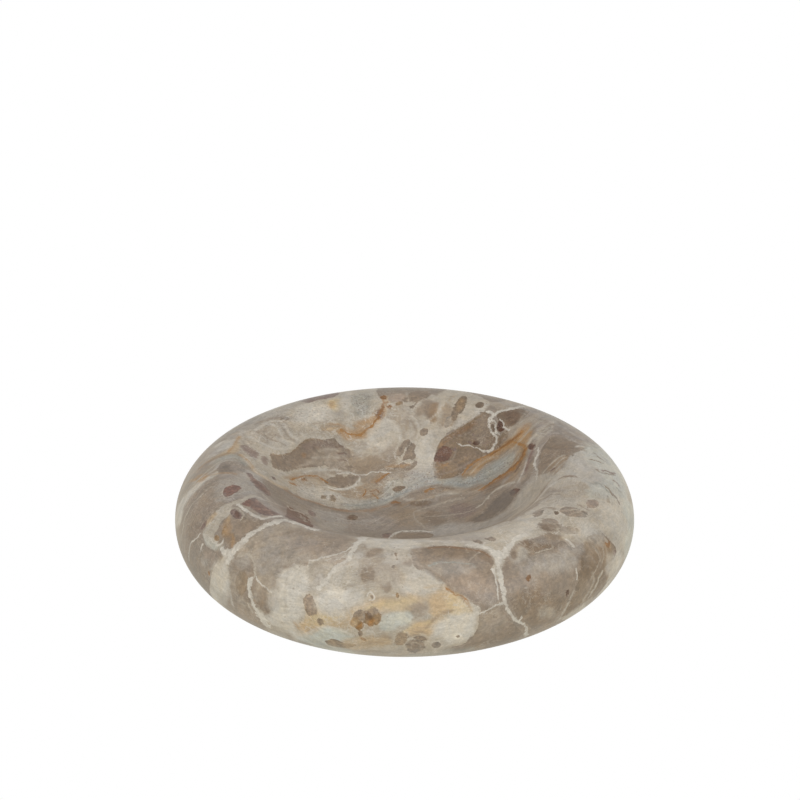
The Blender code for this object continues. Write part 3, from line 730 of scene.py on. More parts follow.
# Smaller fragments, over all but the veins: outline.
CHIPS = """
sliver open plum 247,473 251,474 256,479 262,483 267,488 271,494 268,496 263,492 257,488 251,481
red_clast open russet 223,493 225,488 232,485 239,486 241,489 235,493 230,496 225,496
red_clast_dark open plum 223,493 226,491 229,494 227,497 224,496
long_red_end open russet 242,504 246,500 250,499 252,502 250,507 246,506
long_clast open plum 250,499 254,498 258,500 262,504 268,508 275,512 281,515 270,516 262,514 255,511 250,507
wine_clast open wine 286,515 288,507 295,510 303,514 310,519 313,527 305,525 295,521 288,518
wine_neighbour open plum 308,512 310,510 315,513 316,517 312,516
fork_red rim plum 230,512 234,509 239,512 242,515 240,519 235,518
fork_red_2 rim umber 241,518 244,517 247,519 243,520
fork_brown rim tan 214,538 216,535 219,536 219,540 216,541
loop_dark rim plum 201,528 204,523 207,520 206,525 202,530
left_rust rim rust 208,572 209,571 210,574 209,576
floor_clast dish bark 346,518 349,515 355,515 358,517 356,520 350,520
band_clast open bark 392,489 396,486 405,486 404,489 398,492 393,491
band_oval_1 open tawny 321,497 323,495 326,496 325,499 322,499
band_oval_2 open tawny 330,498 332,495 335,496 336,501 334,503 331,501
band_dark open plum 272,476 275,478 275,480 272,478
band_dark_2 open cinnamon 302,479 305,478 306,480 303,480
tiny_brown open umber 280,419 286,417 288,420 283,422
top_rust open cinnamon 380,397 384,395 387,396 386,399 382,399
top_brown open cinnamon 387,406 391,405 392,407 388,409
top_small open umber 410,406 415,406 414,408 411,408
long_upper_clast open olive 451,416 453,408 457,401 462,396 467,397 466,404 463,411 458,415 456,420 452,421
below_long open fawn 444,424 448,417 453,418 451,424 446,428
upper_small open bark 475,405 479,402 484,403 483,407 478,408
column_clast open umber 419,432 424,428 428,429 427,434 422,436
great_plum open wine 434,461 437,452 441,447 446,446 452,450 450,458 443,462
great_dot_1 open plum 468,442 471,441 472,444 469,444
great_dot_2 open coffee 473,442 476,440 480,442 478,445 474,445
great_dot_3 open plum 472,435 474,433 475,436 473,437
great_dot_4 open plum 454,449 456,446 457,449 455,451
ringed_dark open coffee 497,429 498,422 501,420 504,424 504,430 500,432
ringed_brown open bark 506,420 507,415 513,414 517,417 512,421
right_plum open wine 528,448 530,444 535,444 536,447 532,450
right_long open mushroom 541,431 546,428 552,426 549,430 543,433
right_spot_1 open rose 586,504 589,500 596,500 599,504 594,508 588,508
right_spot_2 open fawn 606,500 608,495 610,500 609,504
right_dot open bark 554,512 557,511 559,513 556,515
crest_chip_1 rim taupe 486,538 491,537 497,539 494,541 488,540
crest_chip_2 rim taupe 473,541 478,540 483,543 482,545 478,543
front_dot_1 rim umber 394,554 396,552 398,554 396,556
front_dot_2 rim umber 396,559 397,557 398,559 397,560
front_dot_3 rim mushroom 392,567 394,565 396,567 394,569
front_oval rim tawny 303,600 307,594 312,596 314,601 317,607 318,612 314,615 309,616 305,610
front_red rim tan 396,594 397,592 399,594 398,598 396,597
front_olive_dot rim tawny 317,621 320,619 323,621 322,625 318,624
front_dot_4 rim umber 370,596 372,594 374,596 372,598
front_dot_5 rim umber 283,616 285,615 286,617 285,618
bottom_chip_1 rim tawny 326,641 330,639 336,640 344,643 352,644 356,645 348,648 336,647 328,645
bottom_chip_2 rim tawny 395,641 398,634 405,632 408,638 403,645 397,645
bottom_chip_3 rim mushroom 406,646 410,641 418,640 425,643 424,649 416,653 409,652
bottom_chip_4 rim umber 414,638 420,636 428,639 423,641
bottom_chip_5 rim mushroom 431,645 435,642 440,643 440,647 434,648
bottom_chip_6 rim taupe 456,636 459,635 460,637 457,638
end_red rim cinnamon 526,579 528,575 531,576 529,581 527,581
grape_1 rim taupe 355,612 358,610 362,610 365,613 365,619 361,621 356,620 353,616
grape_2 rim ochre 350,624 353,618 358,618 359,624 354,627
grape_3 rim tan 363,622 363,616 367,613 370,618 368,624
grape_4 rim taupe 367,610 370,607 375,607 379,611 379,616 373,617 368,615
grape_5 rim tan 372,613 377,611 381,615 381,620 377,625 372,623
grape_6 rim tan 367,623 368,618 372,616 375,621 373,626 369,626
grape_7 rim tan 355,627 357,622 361,621 364,625 362,629 358,630
grape_8 rim umber 358,632 362,631 363,635 360,637
grape_tail rim cinnamon 359,637 364,638 367,641 363,641
wall_plum dish wine 510,494 512,490 517,488 520,489 517,493 513,496
stem_dot rim bark 493,616 495,614 498,615 497,618 494,618
far_spot rim coffee 566,593 568,590 569,593 567,596
top_speck_1 open umber 402,399 410,397 418,398 412,401 405,402
top_speck_2 open tan 396,403 400,401 402,404 398,406
left_pair dish plum 382,535 387,533 392,534 391,538 384,538
mid_1 open umber 396,452 399,446 404,441 409,439 410,443 406,447 404,452 400,456 396,456
mid_2 open umber 405,453 409,446 413,443 416,446 414,451 416,456 414,461 410,459 406,460 402,461
ring_left open bark 490,427 493,424 495,428 495,433 492,433
right_piece_1 rim taupe 559,511 564,507 571,507 577,509 572,513 565,514
right_piece_2 rim taupe 565,515 572,511 580,510 587,513 582,517 572,517
right_piece_3 rim taupe 533,516 537,512 543,510 542,514 537,517
end_rust_1 rim cinnamon 605,542 608,540 610,542 610,546 608,548 606,546
end_rust_2 rim wine 613,552 614,550 616,551 615,555 613,555
"""

# Veins: width at both ends, path.
VEINS = """
fork_upper rim bone 6 2.2 230,555 235,549 240,544 246,538 253,533 260,529 267,525 275,522 282,520 288,521
 295,523 305,526 313,529 320,530
fork_link rim bone 2.4 1.6 238,504 246,510 251,514 257,517 264,519 270,518 276,516 282,516
fork_crown rim cream 4.5 2 226,506 233,503 241,501 249,497 256,496 262,498
fork_root rim bone 6.5 7 222,548 226,552 230,556 227,562
left_vein rim cream 2.2 2.6 237,557 243,555 249,555 252,558 254,563 255,569 255,575 253,579
left_vein_low rim bone 5.4 3.4 252,578 250,582 249,588 250,594 251,600
left_vein_foot rim bone 2.6 6 251,599 254,606 258,613 262,619 268,626
left_vein_side rim cream 1.4 1.2 248,603 250,608 253,613
left_thread rim bone 1.8 1 255,575 260,582 265,587 270,591 274,592
far_left_thread rim bone 1.2 .8 201,533 197,538 191,544 189,553 189,561
flank_thread open cream 1 1 181,543 183,528 186,515 192,505 200,497 212,486
flank_thread_2 open cream 1 1.4 190,488 202,476 214,466 222,461
sliver_thread open cream 1 1 262,494 267,498 271,502
wine_thread open cream 1 1 288,506 290,509 297,511 304,514 311,518
cream_edge rim bone 4.6 4.4 318,589 326,580 332,572 338,566 346,561 351,554 355,547 359,541 365,537
crest_thread rim bone 1.2 1.4 309,561 318,559 330,556 342,553 352,547
y_arms rim bone 2.5 7 466,545 480,546 490,549 498,556
y_arm_right rim bone 3 7 526,534 516,540 508,548 502,557
y_trunk rim bone 9 3.6 499,552 499,560 498,568 499,576
y_stem rim bone 5 2.8 499,570 501,580 503,588 504,596 505,603 508,610 512,616 517,621 523,624 526,629
 526,636
y_side rim bone 2.4 1.4 493,568 495,578 497,588 498,600
y_branch rim bone 2.2 1.8 504,602 497,605 492,607 486,611 479,614
y_swirl rim fawn .9 .9 493,612 499,615 503,621 509,622 514,623
y_spur rim bone 1.8 1.4 518,622 521,618 522,616
front_slate rim slate 2.2 1 428,565 436,563 448,562 460,563 470,564 476,568
white_1 rim cream 1.2 .8 535,552 541,551 548,549 553,549
white_2 rim bone 1.2 1.6 565,539 569,541 572,545 574,548
white_3 rim bone 1.4 1 576,568 577,574 577,580
end_thread_1 rim cream 1.4 1.4 574,590 571,597 568,604 563,613 558,620
end_thread_2 rim cream 1.8 1.6 603,571 599,578 597,584 592,592 588,598
end_thread_3 rim fawn 1.2 1.2 598,540 603,547 604,556 602,563
end_thread_4 rim fawn 1.2 1.2 591,545 597,551 599,560 596,570 590,580
end_top rim fawn 1.6 1.6 588,538 594,536 602,537 608,542
great_vein open bone 3 2.6 487,411 492,413 493,416 490,419 489,424 490,430 494,434 497,437 496,443 492,449
 488,452
great_vein_tail open bone 2 1.2 491,450 484,451 478,448 469,446 461,446 456,443
great_vein_top open bone 3 2.2 493,416 500,411 509,409 520,407 530,406
ring_1 open bone 2.2 2 491,420 495,422 495,427 496,432 500,434
ring_2 open bone 1.4 2 499,419 502,421 504,425 506,429 510,429
right_white open bone 1.4 1.6 538,447 538,454 535,461 536,469 536,480
dish_white_1 open bone 1.2 1.2 337,474 345,473 353,474 360,476 366,474 374,472 383,472 392,472
dish_white_2 open bone 1.6 1.4 328,487 338,489 346,489 353,486 358,481 361,477
middle_white open cream 1.2 1.2 400,460 406,461 412,461 417,458
chip_ring open cream 1 1 391,488 395,485 404,484 407,487 402,492
dish_line_1 dish cream 1.4 1.4 476,508 484,502 490,495 498,488 506,484 515,482
dish_loop dish fawn 1.6 2.2 431,531 424,527 418,522 414,516 415,512 422,509 432,506 442,503 452,500 464,498
lip_line dish bone 1.6 1.8 388,539 393,535 398,532 408,531 420,531 432,532
wall_thread dish fawn 1 1 420,518 436,516 456,514 474,510
wall_thread_2 dish fawn 1 1 322,520 340,524 360,526 384,524
rust_line open rust 1.6 2.8 340,429 345,432 350,434 356,435 362,434 367,430 371,426 375,421 378,417
rust_top open cinnamon 3.2 2 378,418 379,413 382,409 384,404 388,402
rust_far open rust 1.6 1.2 382,399 384,402 386,406
rust_upper open rust 2.2 2.2 462,475 467,468 474,463 481,458 487,456 492,453
rust_upper_2 open rust 2 2.6 491,454 498,450 504,446 511,442 517,437 523,431
rust_upper_3 open rust 2.2 2.4 514,442 520,444 525,447
rust_right open rust 2.4 2.2 526,448 524,456 519,462 514,468 506,473 500,477
rust_right_2 open rust 1.8 1.2 500,477 493,481 486,486 478,491
rust_wall open rust 1.4 1.2 290,479 296,478 305,476 315,476 322,479 328,483
rust_bits open rust 1.4 1.8 362,496 365,493 365,489
rust_bits_2 open rust 2.8 2 377,482 381,479 385,475 389,473
rust_left open rust 1.2 1.2 289,482 293,484 297,486
rust_slate open cinnamon 2.4 2 392,503 396,502 400,503
rust_low open rust 2 2.6 425,492 429,489 434,489
front_rust_thread rim rust 1.6 1.4 446,587 453,593 461,596 469,601
right_dark open umber 1.6 2.2 558,480 563,477 570,476 577,477
right_dark_2 open plum 1.6 1.6 602,471 607,471 611,473 616,474
right_hair_1 open plum 1.5 1.5 613,480 617,483 620,488
right_hair_2 open umber 1.5 1.5 604,485 609,489 613,496
right_hair_3 open umber 1.4 1.4 590,459 597,461 603,463
right_fold open mushroom 1.4 1.2 544,499 550,495 556,494 562,495
top_line open umber .8 .8 300,399 310,400 322,399
front_hair_1 rim bone 1.4 1.4 366,596 368,592 373,592 376,596 373,600 369,600
right_stroke_1 open mushroom 1.6 1.2 594,453 600,458 606,462
right_stroke_2 open mushroom 1.8 1.4 596,469 602,473 609,474 616,476
right_stroke_3 open slate 1.6 1.4 587,482 593,484 598,483 604,488 609,492
right_stroke_4 open slate 1.6 1.2 616,487 620,492 624,497
right_stroke_5 open mushroom 1.6 1.2 613,494 617,499 620,505
right_stroke_6 open mushroom 1.4 1.2 578,504 584,508 590,511
right_stroke_7 open taupe 1.8 1.4 534,514 541,509 549,508 555,508
fork_ring rim cream 1 1 229,510 234,508 239,509 243,513 243,518 240,521
knob_ring rim bone 1.6 1.6 211,538 213,542 218,544 222,542 223,539
lens_core_1 open cinnamon 1 1.8 490,456 498,450 506,444 514,439 521,433
lens_core_2 open cinnamon 1.8 1.2 525,450 520,460 513,467 505,473 496,479 486,486
rust_bits_3 open cinnamon 1.4 1.4 369,491 373,492 376,490 379,493
rust_bits_4 open rust 1.2 1.2 372,493 376,496 379,499
stem_swirl rim fawn .8 .8 496,608 502,610 507,615 504,620 497,618
corner_crack rim cream .8 .8 468,562 474,557 480,552
left_pin rim bone 1.4 1 203,544 201,548 200,552
wine_net_1 open cream .8 .8 297,513 301,515 300,518 305,518 304,521 308,522
wine_net_2 open cream .7 .7 303,513 305,516 309,517 309,521
"""

# Patches with fine pores, whose colour the material gives: strength, outline.
PORES = """
great_pores open pores .7 434,466 438,448 450,434 484,414 508,430 500,446 470,466 450,477 436,476
band_pores open pores .6 288,484 320,488 344,492 362,486 384,476 404,470 430,470 440,480 412,492 380,506
 340,508 305,499
wall_pores open pores .5 252,476 285,492 320,508 370,514 404,510 404,528 340,530 282,514 250,498
wisp_pores open pores .5 244,430 270,416 300,404 330,400 330,412 290,430 262,446 246,446
flank_pores open pores .5 186,500 208,482 240,480 246,496 222,506 204,526 188,556 184,530
slate_pores open pores 1 352,396 360,393 368,394 369,404 367,415 358,414 352,406
speckled_pores open pores .8 404,476 418,471 432,474 436,482 422,485 408,488
lens_pores open pores .9 440,482 462,481 480,474 496,465 510,459 510,464 496,473 480,482 460,487
upper_pores open pores .4 280,420 300,416 330,420 330,434 300,432 284,430
"""

# The way the stone flowed: up the left flank, over the shoulder, down through the dish and up its far wall.
FLOW = (
    (176, 545), (180, 512), (192, 487), (208, 470), (226, 457), (238, 457), (250, 467), (265, 479),
    (300, 497), (345, 509), (385, 502), (415, 488), (460, 484), (500, 469), (524, 447), (540, 428),
    (562, 414),
)


def as_linear(red, green, blue):
    """A colour given in display steps of 0 to 255, as the light it stands for on the usual curve."""
    steps = np.array((red, green, blue)) / 255
    return np.where(steps <= 0.04045, steps / 12.92, ((steps + 0.055) / 1.055) ** 2.4)


def stone_colour(label, use, red, green, blue):
    """A property for a colour of the stone, given as it looks in the studio, less the gloss on it."""
    bare = np.maximum(as_linear(red, green, blue) - GLOSS_LIGHT, DARKEST)
    return FloatVectorProperty(
        name=label, description=use, subtype="COLOR", size=3, min=0, max=1, default=tuple(bare)
    )


class StoneBowlColours(bpy.types.PropertyGroup):
    """The colours of the stone and its pads."""

    # Bone, lilac, mist, frost and slate are also laid as painted highlights and a painted cool sheen on the
    # rim, and ash as painted shade on the far side of the dish.
    taupe: stone_colour("Taupe", "Most of the larger fragments", 150, 136, 121)
    umber: stone_colour("Umber", "The darker brown fragments", 142, 127, 111)
    ash: stone_colour("Ash", "The grey-brown of shaded fragments", 122, 112, 102)
    bark: stone_colour("Bark", "The dark brown of the largest fragment", 128, 111, 94)
    olive: stone_colour("Olive", "The greenish brown tops of fragments", 134, 118, 100)
    tawny: stone_colour("Tawny", "The warm brown fragments", 151, 134, 114)
    rose: stone_colour("Rose", "The pinkish parts of fragments", 162, 146, 131)
    mushroom: stone_colour("Mushroom", "The grey-brown ground in the dish and on the flanks", 145, 133, 120)
    floor: stone_colour("Floor", "The ground in the bottom of the dish", 148, 136, 123)
    fawn: stone_colour("Fawn", "The paler ground between cream and taupe", 163, 151, 136)
    cream: stone_colour("Cream", "The pale matrix between the fragments", 177, 167, 152)
    bone: stone_colour("Bone", "The whitest veins and patches", 200, 193, 181)
    dusk: stone_colour("Dusk", "The cool brown of the inner walls", 155, 144, 133)
    lilac: stone_colour("Lilac", "The cool grey tint on the inner walls", 165, 157, 147)
    plum: stone_colour("Plum", "The dull purple fragments", 134, 116, 107)
    wine: stone_colour("Wine", "The darkest reddish fragments", 112, 87, 75)
    coffee: stone_colour("Coffee", "The darkest brown cores", 98, 75, 62)
    russet: stone_colour("Russet", "The brick-coloured specks", 131, 103, 92)
    ochre: stone_colour("Ochre", "The yellow-brown stains", 188, 165, 134)
    honey: stone_colour("Honey", "The yellowest stains", 198, 178, 142)
    mist: stone_colour("Mist", "The coolest pale grey", 178, 171, 161)
    tan: stone_colour("Tan", "The brown of the older stains", 150, 127, 100)
    amber: stone_colour("Amber", "The orange glow round the stains' cores", 168, 136, 99)
    rust: stone_colour("Rust", "The orange cores of the stains", 156, 117, 76)
    cinnamon: stone_colour("Cinnamon", "The brown cores of the stains", 138, 103, 72)
    slate: stone_colour("Slate", "The grey-green bands", 157, 154, 144)
    blue: stone_colour("Blue", "The blue-grey lines", 148, 148, 143)
    frost: stone_colour("Frost", "The pale green-white patches", 187, 187, 177)
    felt: stone_colour("Felt", "The pads under the foot", 98, 94, 90)


class StoneBowlSizes(bpy.types.PropertyGroup):
    """The sizes that the frame's boxes don't give."""

    rim_thickness: FloatProperty(
        name="Rim thickness", description="Diameter of the rim's round section",
        default=0.072, min=0.02, unit="LENGTH",
    )
    dish_depth: FloatProperty(
        name="Dish depth", description="From the rim's crest to the middle of the dish",
        default=0.046, min=0.01, unit="LENGTH",
    )
    felt_edge: FloatProperty(
        name="Felt edge", description="How far the edge of a pad is rounded over",
        default=0.0007, min=0, unit="LENGTH",
    )
    seed: IntProperty(
        name="Seed", description="Start of the random marks on the sides that the photograph hides",
        default=7, min=0,
    )
    floor_radius: FloatProperty(
        name="Floor radius", description="Half the width of the studio's floor",
        default=12.0, min=1, unit="LENGTH",
    )
    colours: PointerProperty(type=StoneBowlColours)


class Section:
    """The stone's half section, measured along its outline from the dish's middle to the foot's.

    The dish is part of a ball that touches the rim's round from inside, and the foot is ground flat.
    """

    def __init__(self, rim_thickness, dish_depth):
        self.rim = rim_thickness / 2
        self.crest_r = STONE_HIGH.x - self.rim
        self.rim_z = STONE_HIGH.z - self.rim
        self.foot_z = STONE_LOW.z
        floor_z = STONE_HIGH.z - dish_depth
        drop = floor_z - self.rim_z
        self.ball = (self.crest_r**2 + drop**2 - self.rim**2) / (2 * dish_depth)
        self.ball_z = floor_z + self.ball
        self.join = math.atan2(self.ball_z - self.rim_z, -self.crest_r)
        self.join_z = self.rim_z + self.rim * math.sin(self.join)
        self.foot_edge = -math.asin((self.rim_z - self.foot_z) / self.rim)
        self.foot_r = self.crest_r + self.rim * math.cos(self.foot_edge)
        self.dish_end = self.ball * (self.join - math.pi / 2)
        self.rim_end = self.dish_end + self.rim * (self.join - self.foot_edge)
        self.length = self.rim_end + self.foot_r

    def at(self, along):
        """Radius and height at a distance along the outline: the ball's arc, the rim's, then the flat."""
        turn = along / self.ball
        angle = self.join - (along - self.dish_end) / self.rim
        parts = [along <= self.dish_end, along <= self.rim_end]
        radius = np.select(
            parts,
            [self.ball * np.sin(turn), self.crest_r + self.rim * np.cos(angle)],
            self.foot_r - (along - self.rim_end),
        )
        height = np.select(
            parts,
            [self.ball_z - self.ball * np.cos(turn), self.rim_z + self.rim * np.sin(angle)],
            self.foot_z,
        )
        return radius, height

    def along(self, points):
        """How far along the outline each point lies, by its angle about the ball's or the rim's middle."""
        radius = np.hypot(points[:, 0], points[:, 1])
        angle = np.arctan2(points[:, 2] - self.rim_z, radius - self.crest_r)
        dish = self.ball * np.arctan2(radius, self.ball_z - points[:, 2])
        on_rim = (angle < self.join) & (angle > RIM_LOWEST_ANGLE) | (radius > self.crest_r)
        return np.where(on_rim, self.dish_end + (self.join - angle) * self.rim, dish)

    def gap(self, points, side):
        """Distance from each point to the stone: the nearer of the rim's ring and the ball's wall below it.

        For the side rim only the ring counts, and for the side dish its half near the camera is left out.
        """
        radius = np.hypot(points[:, 0], points[:, 1])
        ring = np.hypot(radius - self.crest_r, points[:, 2] - self.rim_z) - self.rim
        if side == "rim":
            return ring
        wall = self.ball - np.hypot(radius, points[:, 2] - self.ball_z)
        wall = np.maximum(wall, np.maximum(radius - self.crest_r, points[:, 2] - self.join_z))
        if side == "dish":
            ring = np.where(points[:, 1] < 0, FAR * 10, ring)
        return np.minimum(ring, wall)

    def places(self, along, bearing):
        """Points in space at distances along the outline, turned to bearings about the axis."""
        radius, height = self.at(along)
        return np.stack([radius * np.cos(bearing), radius * np.sin(bearing), height], -1)

    def chart(self, along, bearing):
        """Places as two flat coordinates, whose radius is the distance along, and three in space."""
        flat = np.stack([along * np.cos(bearing), along * np.sin(bearing)], -1)
        return np.concatenate([flat, self.places(along, bearing)], -1)


def camera_axes():
    """The camera's place, and its right, up and backward directions, from its height and distance."""
    back = np.array([0, -math.cos(CAMERA_ELEVATION), math.sin(CAMERA_ELEVATION)])
    up = np.array([0, math.sin(CAMERA_ELEVATION), math.cos(CAMERA_ELEVATION)])
    return back * CAMERA_DISTANCE, np.array([1.0, 0, 0]), up, back


def cast(section, pixels, side="open"):
    """Where the photograph's pixels lie on the stone, flat and in space.

    A ray is stepped along by its distance to the stone until it touches. A ray that misses is carried over
    the horizon at its nearest point, by the arc whose sagitta is the miss.
    """
    place, right, up, back = camera_axes()
    eye = place + [0, 0, section.rim_z]
    offset = (np.asarray(pixels, float) - AIM_PIXEL) / FOCAL_PIXELS
    ray = -back + offset[:, :1] * right - offset[:, 1:] * up
    ray /= np.linalg.norm(ray, axis=1, keepdims=True)
    reach = np.full(len(ray), CAMERA_DISTANCE - STONE_HIGH.x * MARCH_START)
    best = reach.copy()
    least = np.full(len(ray), np.inf)
    for _ in range(MARCH_STEPS):
        points = eye + ray * reach[:, None]
        gap = section.gap(points, side)
        closer = gap < least
        if side == "rim":
            closer &= points[:, 1] < 0
        least = np.where(closer, gap, least)
        best = np.where(closer, reach, best)
        reach = reach + np.where(least > TOUCH, np.maximum(gap, TOUCH), 0)
    points = eye + ray * best[:, None]
    along = section.along(points)
    crest = section.dish_end + (section.join - math.pi / 2) * section.rim
    over = np.sqrt(2 * section.rim * np.maximum(least - TOUCH, 0))
    inward = (along < crest) & (side == "rim")
    along = np.maximum(along + np.where(inward, -over, over), TOUCH)
    return section.chart(along, np.arctan2(points[:, 1], points[:, 0]))


def seen(section, along, bearing):
    """Whether the camera sees each place: its pixel is cast back, and has to land near by."""
    _, right, up, back = camera_axes()
    spots = section.places(along, bearing)
    level = spots - [0, 0, section.rim_z]
    depth = CAMERA_DISTANCE - level @ back
    pixels = np.stack([level @ right, -(level @ up)], -1) * FOCAL_PIXELS / depth[:, None] + AIM_PIXEL
    return np.linalg.norm(cast(section, pixels)[:, 2:] - spots, axis=1) < LANDING


def smooth(points, closed):
    """A curve through the points: each stretch is a cubic that leaves along its neighbours' chord."""
    points = np.asarray(points, float)
    if closed:
        before, after, last = np.roll(points, 1, 0), np.roll(points, -1, 0), np.roll(points, -2, 0)
    else:
        ends = np.concatenate([2 * points[:1] - points[1:2], points, 2 * points[-1:] - points[-2:-1]])
        before, after, last = ends[:-3], points[1:], ends[3:]
        points = points[:-1]
    share = (np.arange(CURVE_STEPS) / CURVE_STEPS)[None, :, None]
    p, q, r, s = (group[:, None] for group in (before, points, after, last))
    curve = q + share * (r - p) / 2 + share**2 * (p - 2.5 * q + 2 * r - s / 2)
    curve = curve + share**3 * (1.5 * (q - r) + (s - p) / 2)
    curve = curve.reshape(-1, points.shape[1])
    return curve if closed else np.concatenate([curve, after[-1:]])


def waves(points, size, seed):
    """A smooth random value near -1 to 1 at each point: the sum of sine waves in random directions."""
    random = np.random.default_rng(seed)
    ways = random.normal(size=(WAVE_COUNT, points.shape[1]))
    spread = random.uniform(*WAVE_RATES, (WAVE_COUNT, 1))
    ways *= TURN / size * spread / np.linalg.norm(ways, axis=1, keepdims=True)
    total = np.sin(points @ ways.T + random.uniform(0, TURN, WAVE_COUNT)).sum(1)
    return total / math.sqrt(WAVE_COUNT / 2) / WAVE_SUM


def ease(share):
    """A share from 0 to 1 with a soft start and end."""
    share = np.clip(share, 0, 1)
    return share * share * (3 - 2 * share)


class Slab:
    """The stone's surface, with the marks drawn on it.

    Each vertex holds its ground colour, the signed distance to the nearest fragment of each layer with its
    colour, and for each channel of veins its signed distance to the vein, the vein's half width there, and
    its colour. Distances are measured in space, and a vertex's side is found on the flat chart.
    """

    def __init__(self, section, chart, colours):
        self.section = section
        self.flat, self.points = chart[:, :2], chart[:, 2:]
        self.colours = colours
        count = len(chart)
        self.tones = {name: np.tile(self.colour(fill), (count, 1)) for name, fill in LAYERS}
        self.gaps = {name: np.full(count, FAR) for name, _ in LAYERS[1:]}
        self.pores = np.zeros(count)
        self.veins = [
            (np.full(count, FAR), np.full(count, -FAR), np.tile(self.colour("bone"), (count, 1)))
            for _ in range(LINE_CHANNELS)
        ]
        self.ragged = sum(waves(self.points, size * MM, seed) * share for size, seed, share in RAGGED_WAVES)

    def colour(self, name):
        """One of the stone's named colours."""
        return np.array(getattr(self.colours, name))

    def near(self, path, reach):
        """The vertices within reach of a path's box."""
        low, high = path[:, 2:5].min(0) - reach, path[:, 2:5].max(0) + reach
        return np.nonzero(((self.points > low) & (self.points < high)).all(1))[0]

    def measure(self, chosen, path, closed):
        """For the chosen vertices: the distance to the path's nearest stretch, which stretch that is, the
        share along it, the side they lie on, and how far they lie past an open path's ends."""
        start = path if closed else path[:-1]
        way = (np.roll(path, -1, 0) if closed else path[1:]) - start
        origin, step = start[:, 2:5], way[:, 2:5]
        size = np.maximum((step**2).sum(1), LEAST_SQUARE)
        spots = self.points[chosen]
        toward = spots @ step.T - (origin * step).sum(1)
        apart = (spots**2).sum(1)[:, None] - 2 * spots @ origin.T + (origin**2).sum(1)
        held = np.clip(toward / size, 0, 1)
        squared = apart - 2 * held * toward + held**2 * size
        nearest = squared.argmin(1)
        rows = np.arange(len(chosen))
        share = toward[rows, nearest] / size[nearest]
        held = held[rows, nearest]
        offset = self.flat[chosen] - start[nearest, :2]
        cross = way[nearest, 0] * offset[:, 1] - way[nearest, 1] * offset[:, 0]
        past = np.abs(share - held) * np.sqrt(size[nearest])
        past *= ((nearest == 0) & (share < 0)) | ((nearest == len(way) - 1) & (share > 1))
        distance = np.sqrt(np.maximum(squared[rows, nearest], 0))
        return distance, nearest, held, np.sign(cross), 0 if closed else past

    def inside(self, chosen, path):
        """Whether each chosen vertex lies in a closed path: a line to its right crosses it an odd number of
        times."""
        x, y = self.flat[chosen].T
        x1, y1 = path[:, :1], path[:, 1:2]
        x2, y2 = np.roll(x1, -1, 0), np.roll(y1, -1, 0)
        level = (y1 > y) != (y2 > y)
        crossing = x1 + (y - y1) * (x2 - x1) / np.where(y2 == y1, 1, y2 - y1)
        return (level & (x < crossing)).sum(0) % 2 == 1

    def area(self, chosen, path):
        """Signed distance to a closed path, negative inside."""
        distance = self.measure(chosen, path, True)[0]
        return np.where(self.inside(chosen, path), -distance, distance)

    def stain(self, layers, chosen, colour, cover):
        """Mixes a colour into the named layers of the chosen vertices."""
        for name in layers:
            tones = self.tones[name]
            tones[chosen] += cover[:, None] * (self.colour(colour) - tones[chosen])

    def lay_wash(self, layers, path, colour, softness, strength):
        """Stains the inside of a closed path, with a soft, slightly ragged edge."""
        chosen = self.near(path, softness * 2 + REACH)
        distance = self.area(chosen, path) + self.ragged[chosen] * softness * EDGE_WANDER
        self.stain(layers, chosen, colour, strength * ease(0.5 - distance / softness / 2))

    def lay_stroke(self, layers, path, colour, softness, strength):
        """Stains a path of varying half width."""
        chosen = self.near(path, softness * 2 + REACH)
        distance, nearest, share, _, past = self.measure(chosen, path, False)
        half = path[nearest, 5] * (1 - share) + path[nearest + 1, 5] * share
        half = half * (1 + STROKE_WANDER * self.ragged[chosen]) - past * STROKE_TAPER
        self.stain(layers, chosen, colour, strength * ease(0.5 - (distance - half) / softness / 2))

    def lay_area(self, name, path, colour):
        """Adds a fragment to a layer: where it is the nearest one, its distance and its colour are kept."""
        gaps = self.gaps[name]
        chosen = self.near(path, REACH)
        distance = self.area(chosen, path)
        nearer = distance < gaps[chosen]
        gaps[chosen[nearer]] = distance[nearer]
        self.tones[name][chosen[nearer]] = self.colour(colour)

    def lay_pores(self, path, strength):
        """Marks a patch where fine pores show."""
        chosen = self.near(path, REACH)
        distance = self.area(chosen, path) + self.ragged[chosen] * PORE_WANDER
        cover = strength * ease(0.5 - distance / PORE_SOFTNESS)
        self.pores[chosen] = np.maximum(self.pores[chosen], cover)

    def lay_vein(self, path, colour):
        """Adds a vein in the first channel that has no other vein close to it, or in the last channel.

        The signed distance changes evenly across a vein, so it stays crisp between the vertices. The half
        width falls away past the vein's ends and away from it, which keeps the channel empty there.
        """
        chosen = self.near(path, REACH)
        distance, nearest, share, side, past = self.measure(chosen, path, False)
        half = path[nearest, 5] * (1 - share) + path[nearest + 1, 5] * share
        half = half - past * LINE_TAPER - np.maximum(distance - half - LINE_SPACE / 2, 0) * LINE_FADE
        signed = np.sqrt(np.maximum(distance**2 - past**2, 0)) * side
        close = distance < LINE_SPACE
        for distances, widths, tones in self.veins:
            if (widths[chosen[close]] < -LINE_SPACE).all():
                break
        better = half > widths[chosen]
        chosen = chosen[better]
        distances[chosen], widths[chosen], tones[chosen] = signed[better], half[better], self.colour(colour)


def photo_outline(section, outline, side):
    """A closed curve on the stone, cast from an outline drawn on the photograph."""
    return smooth(cast(section, outline, side), True)


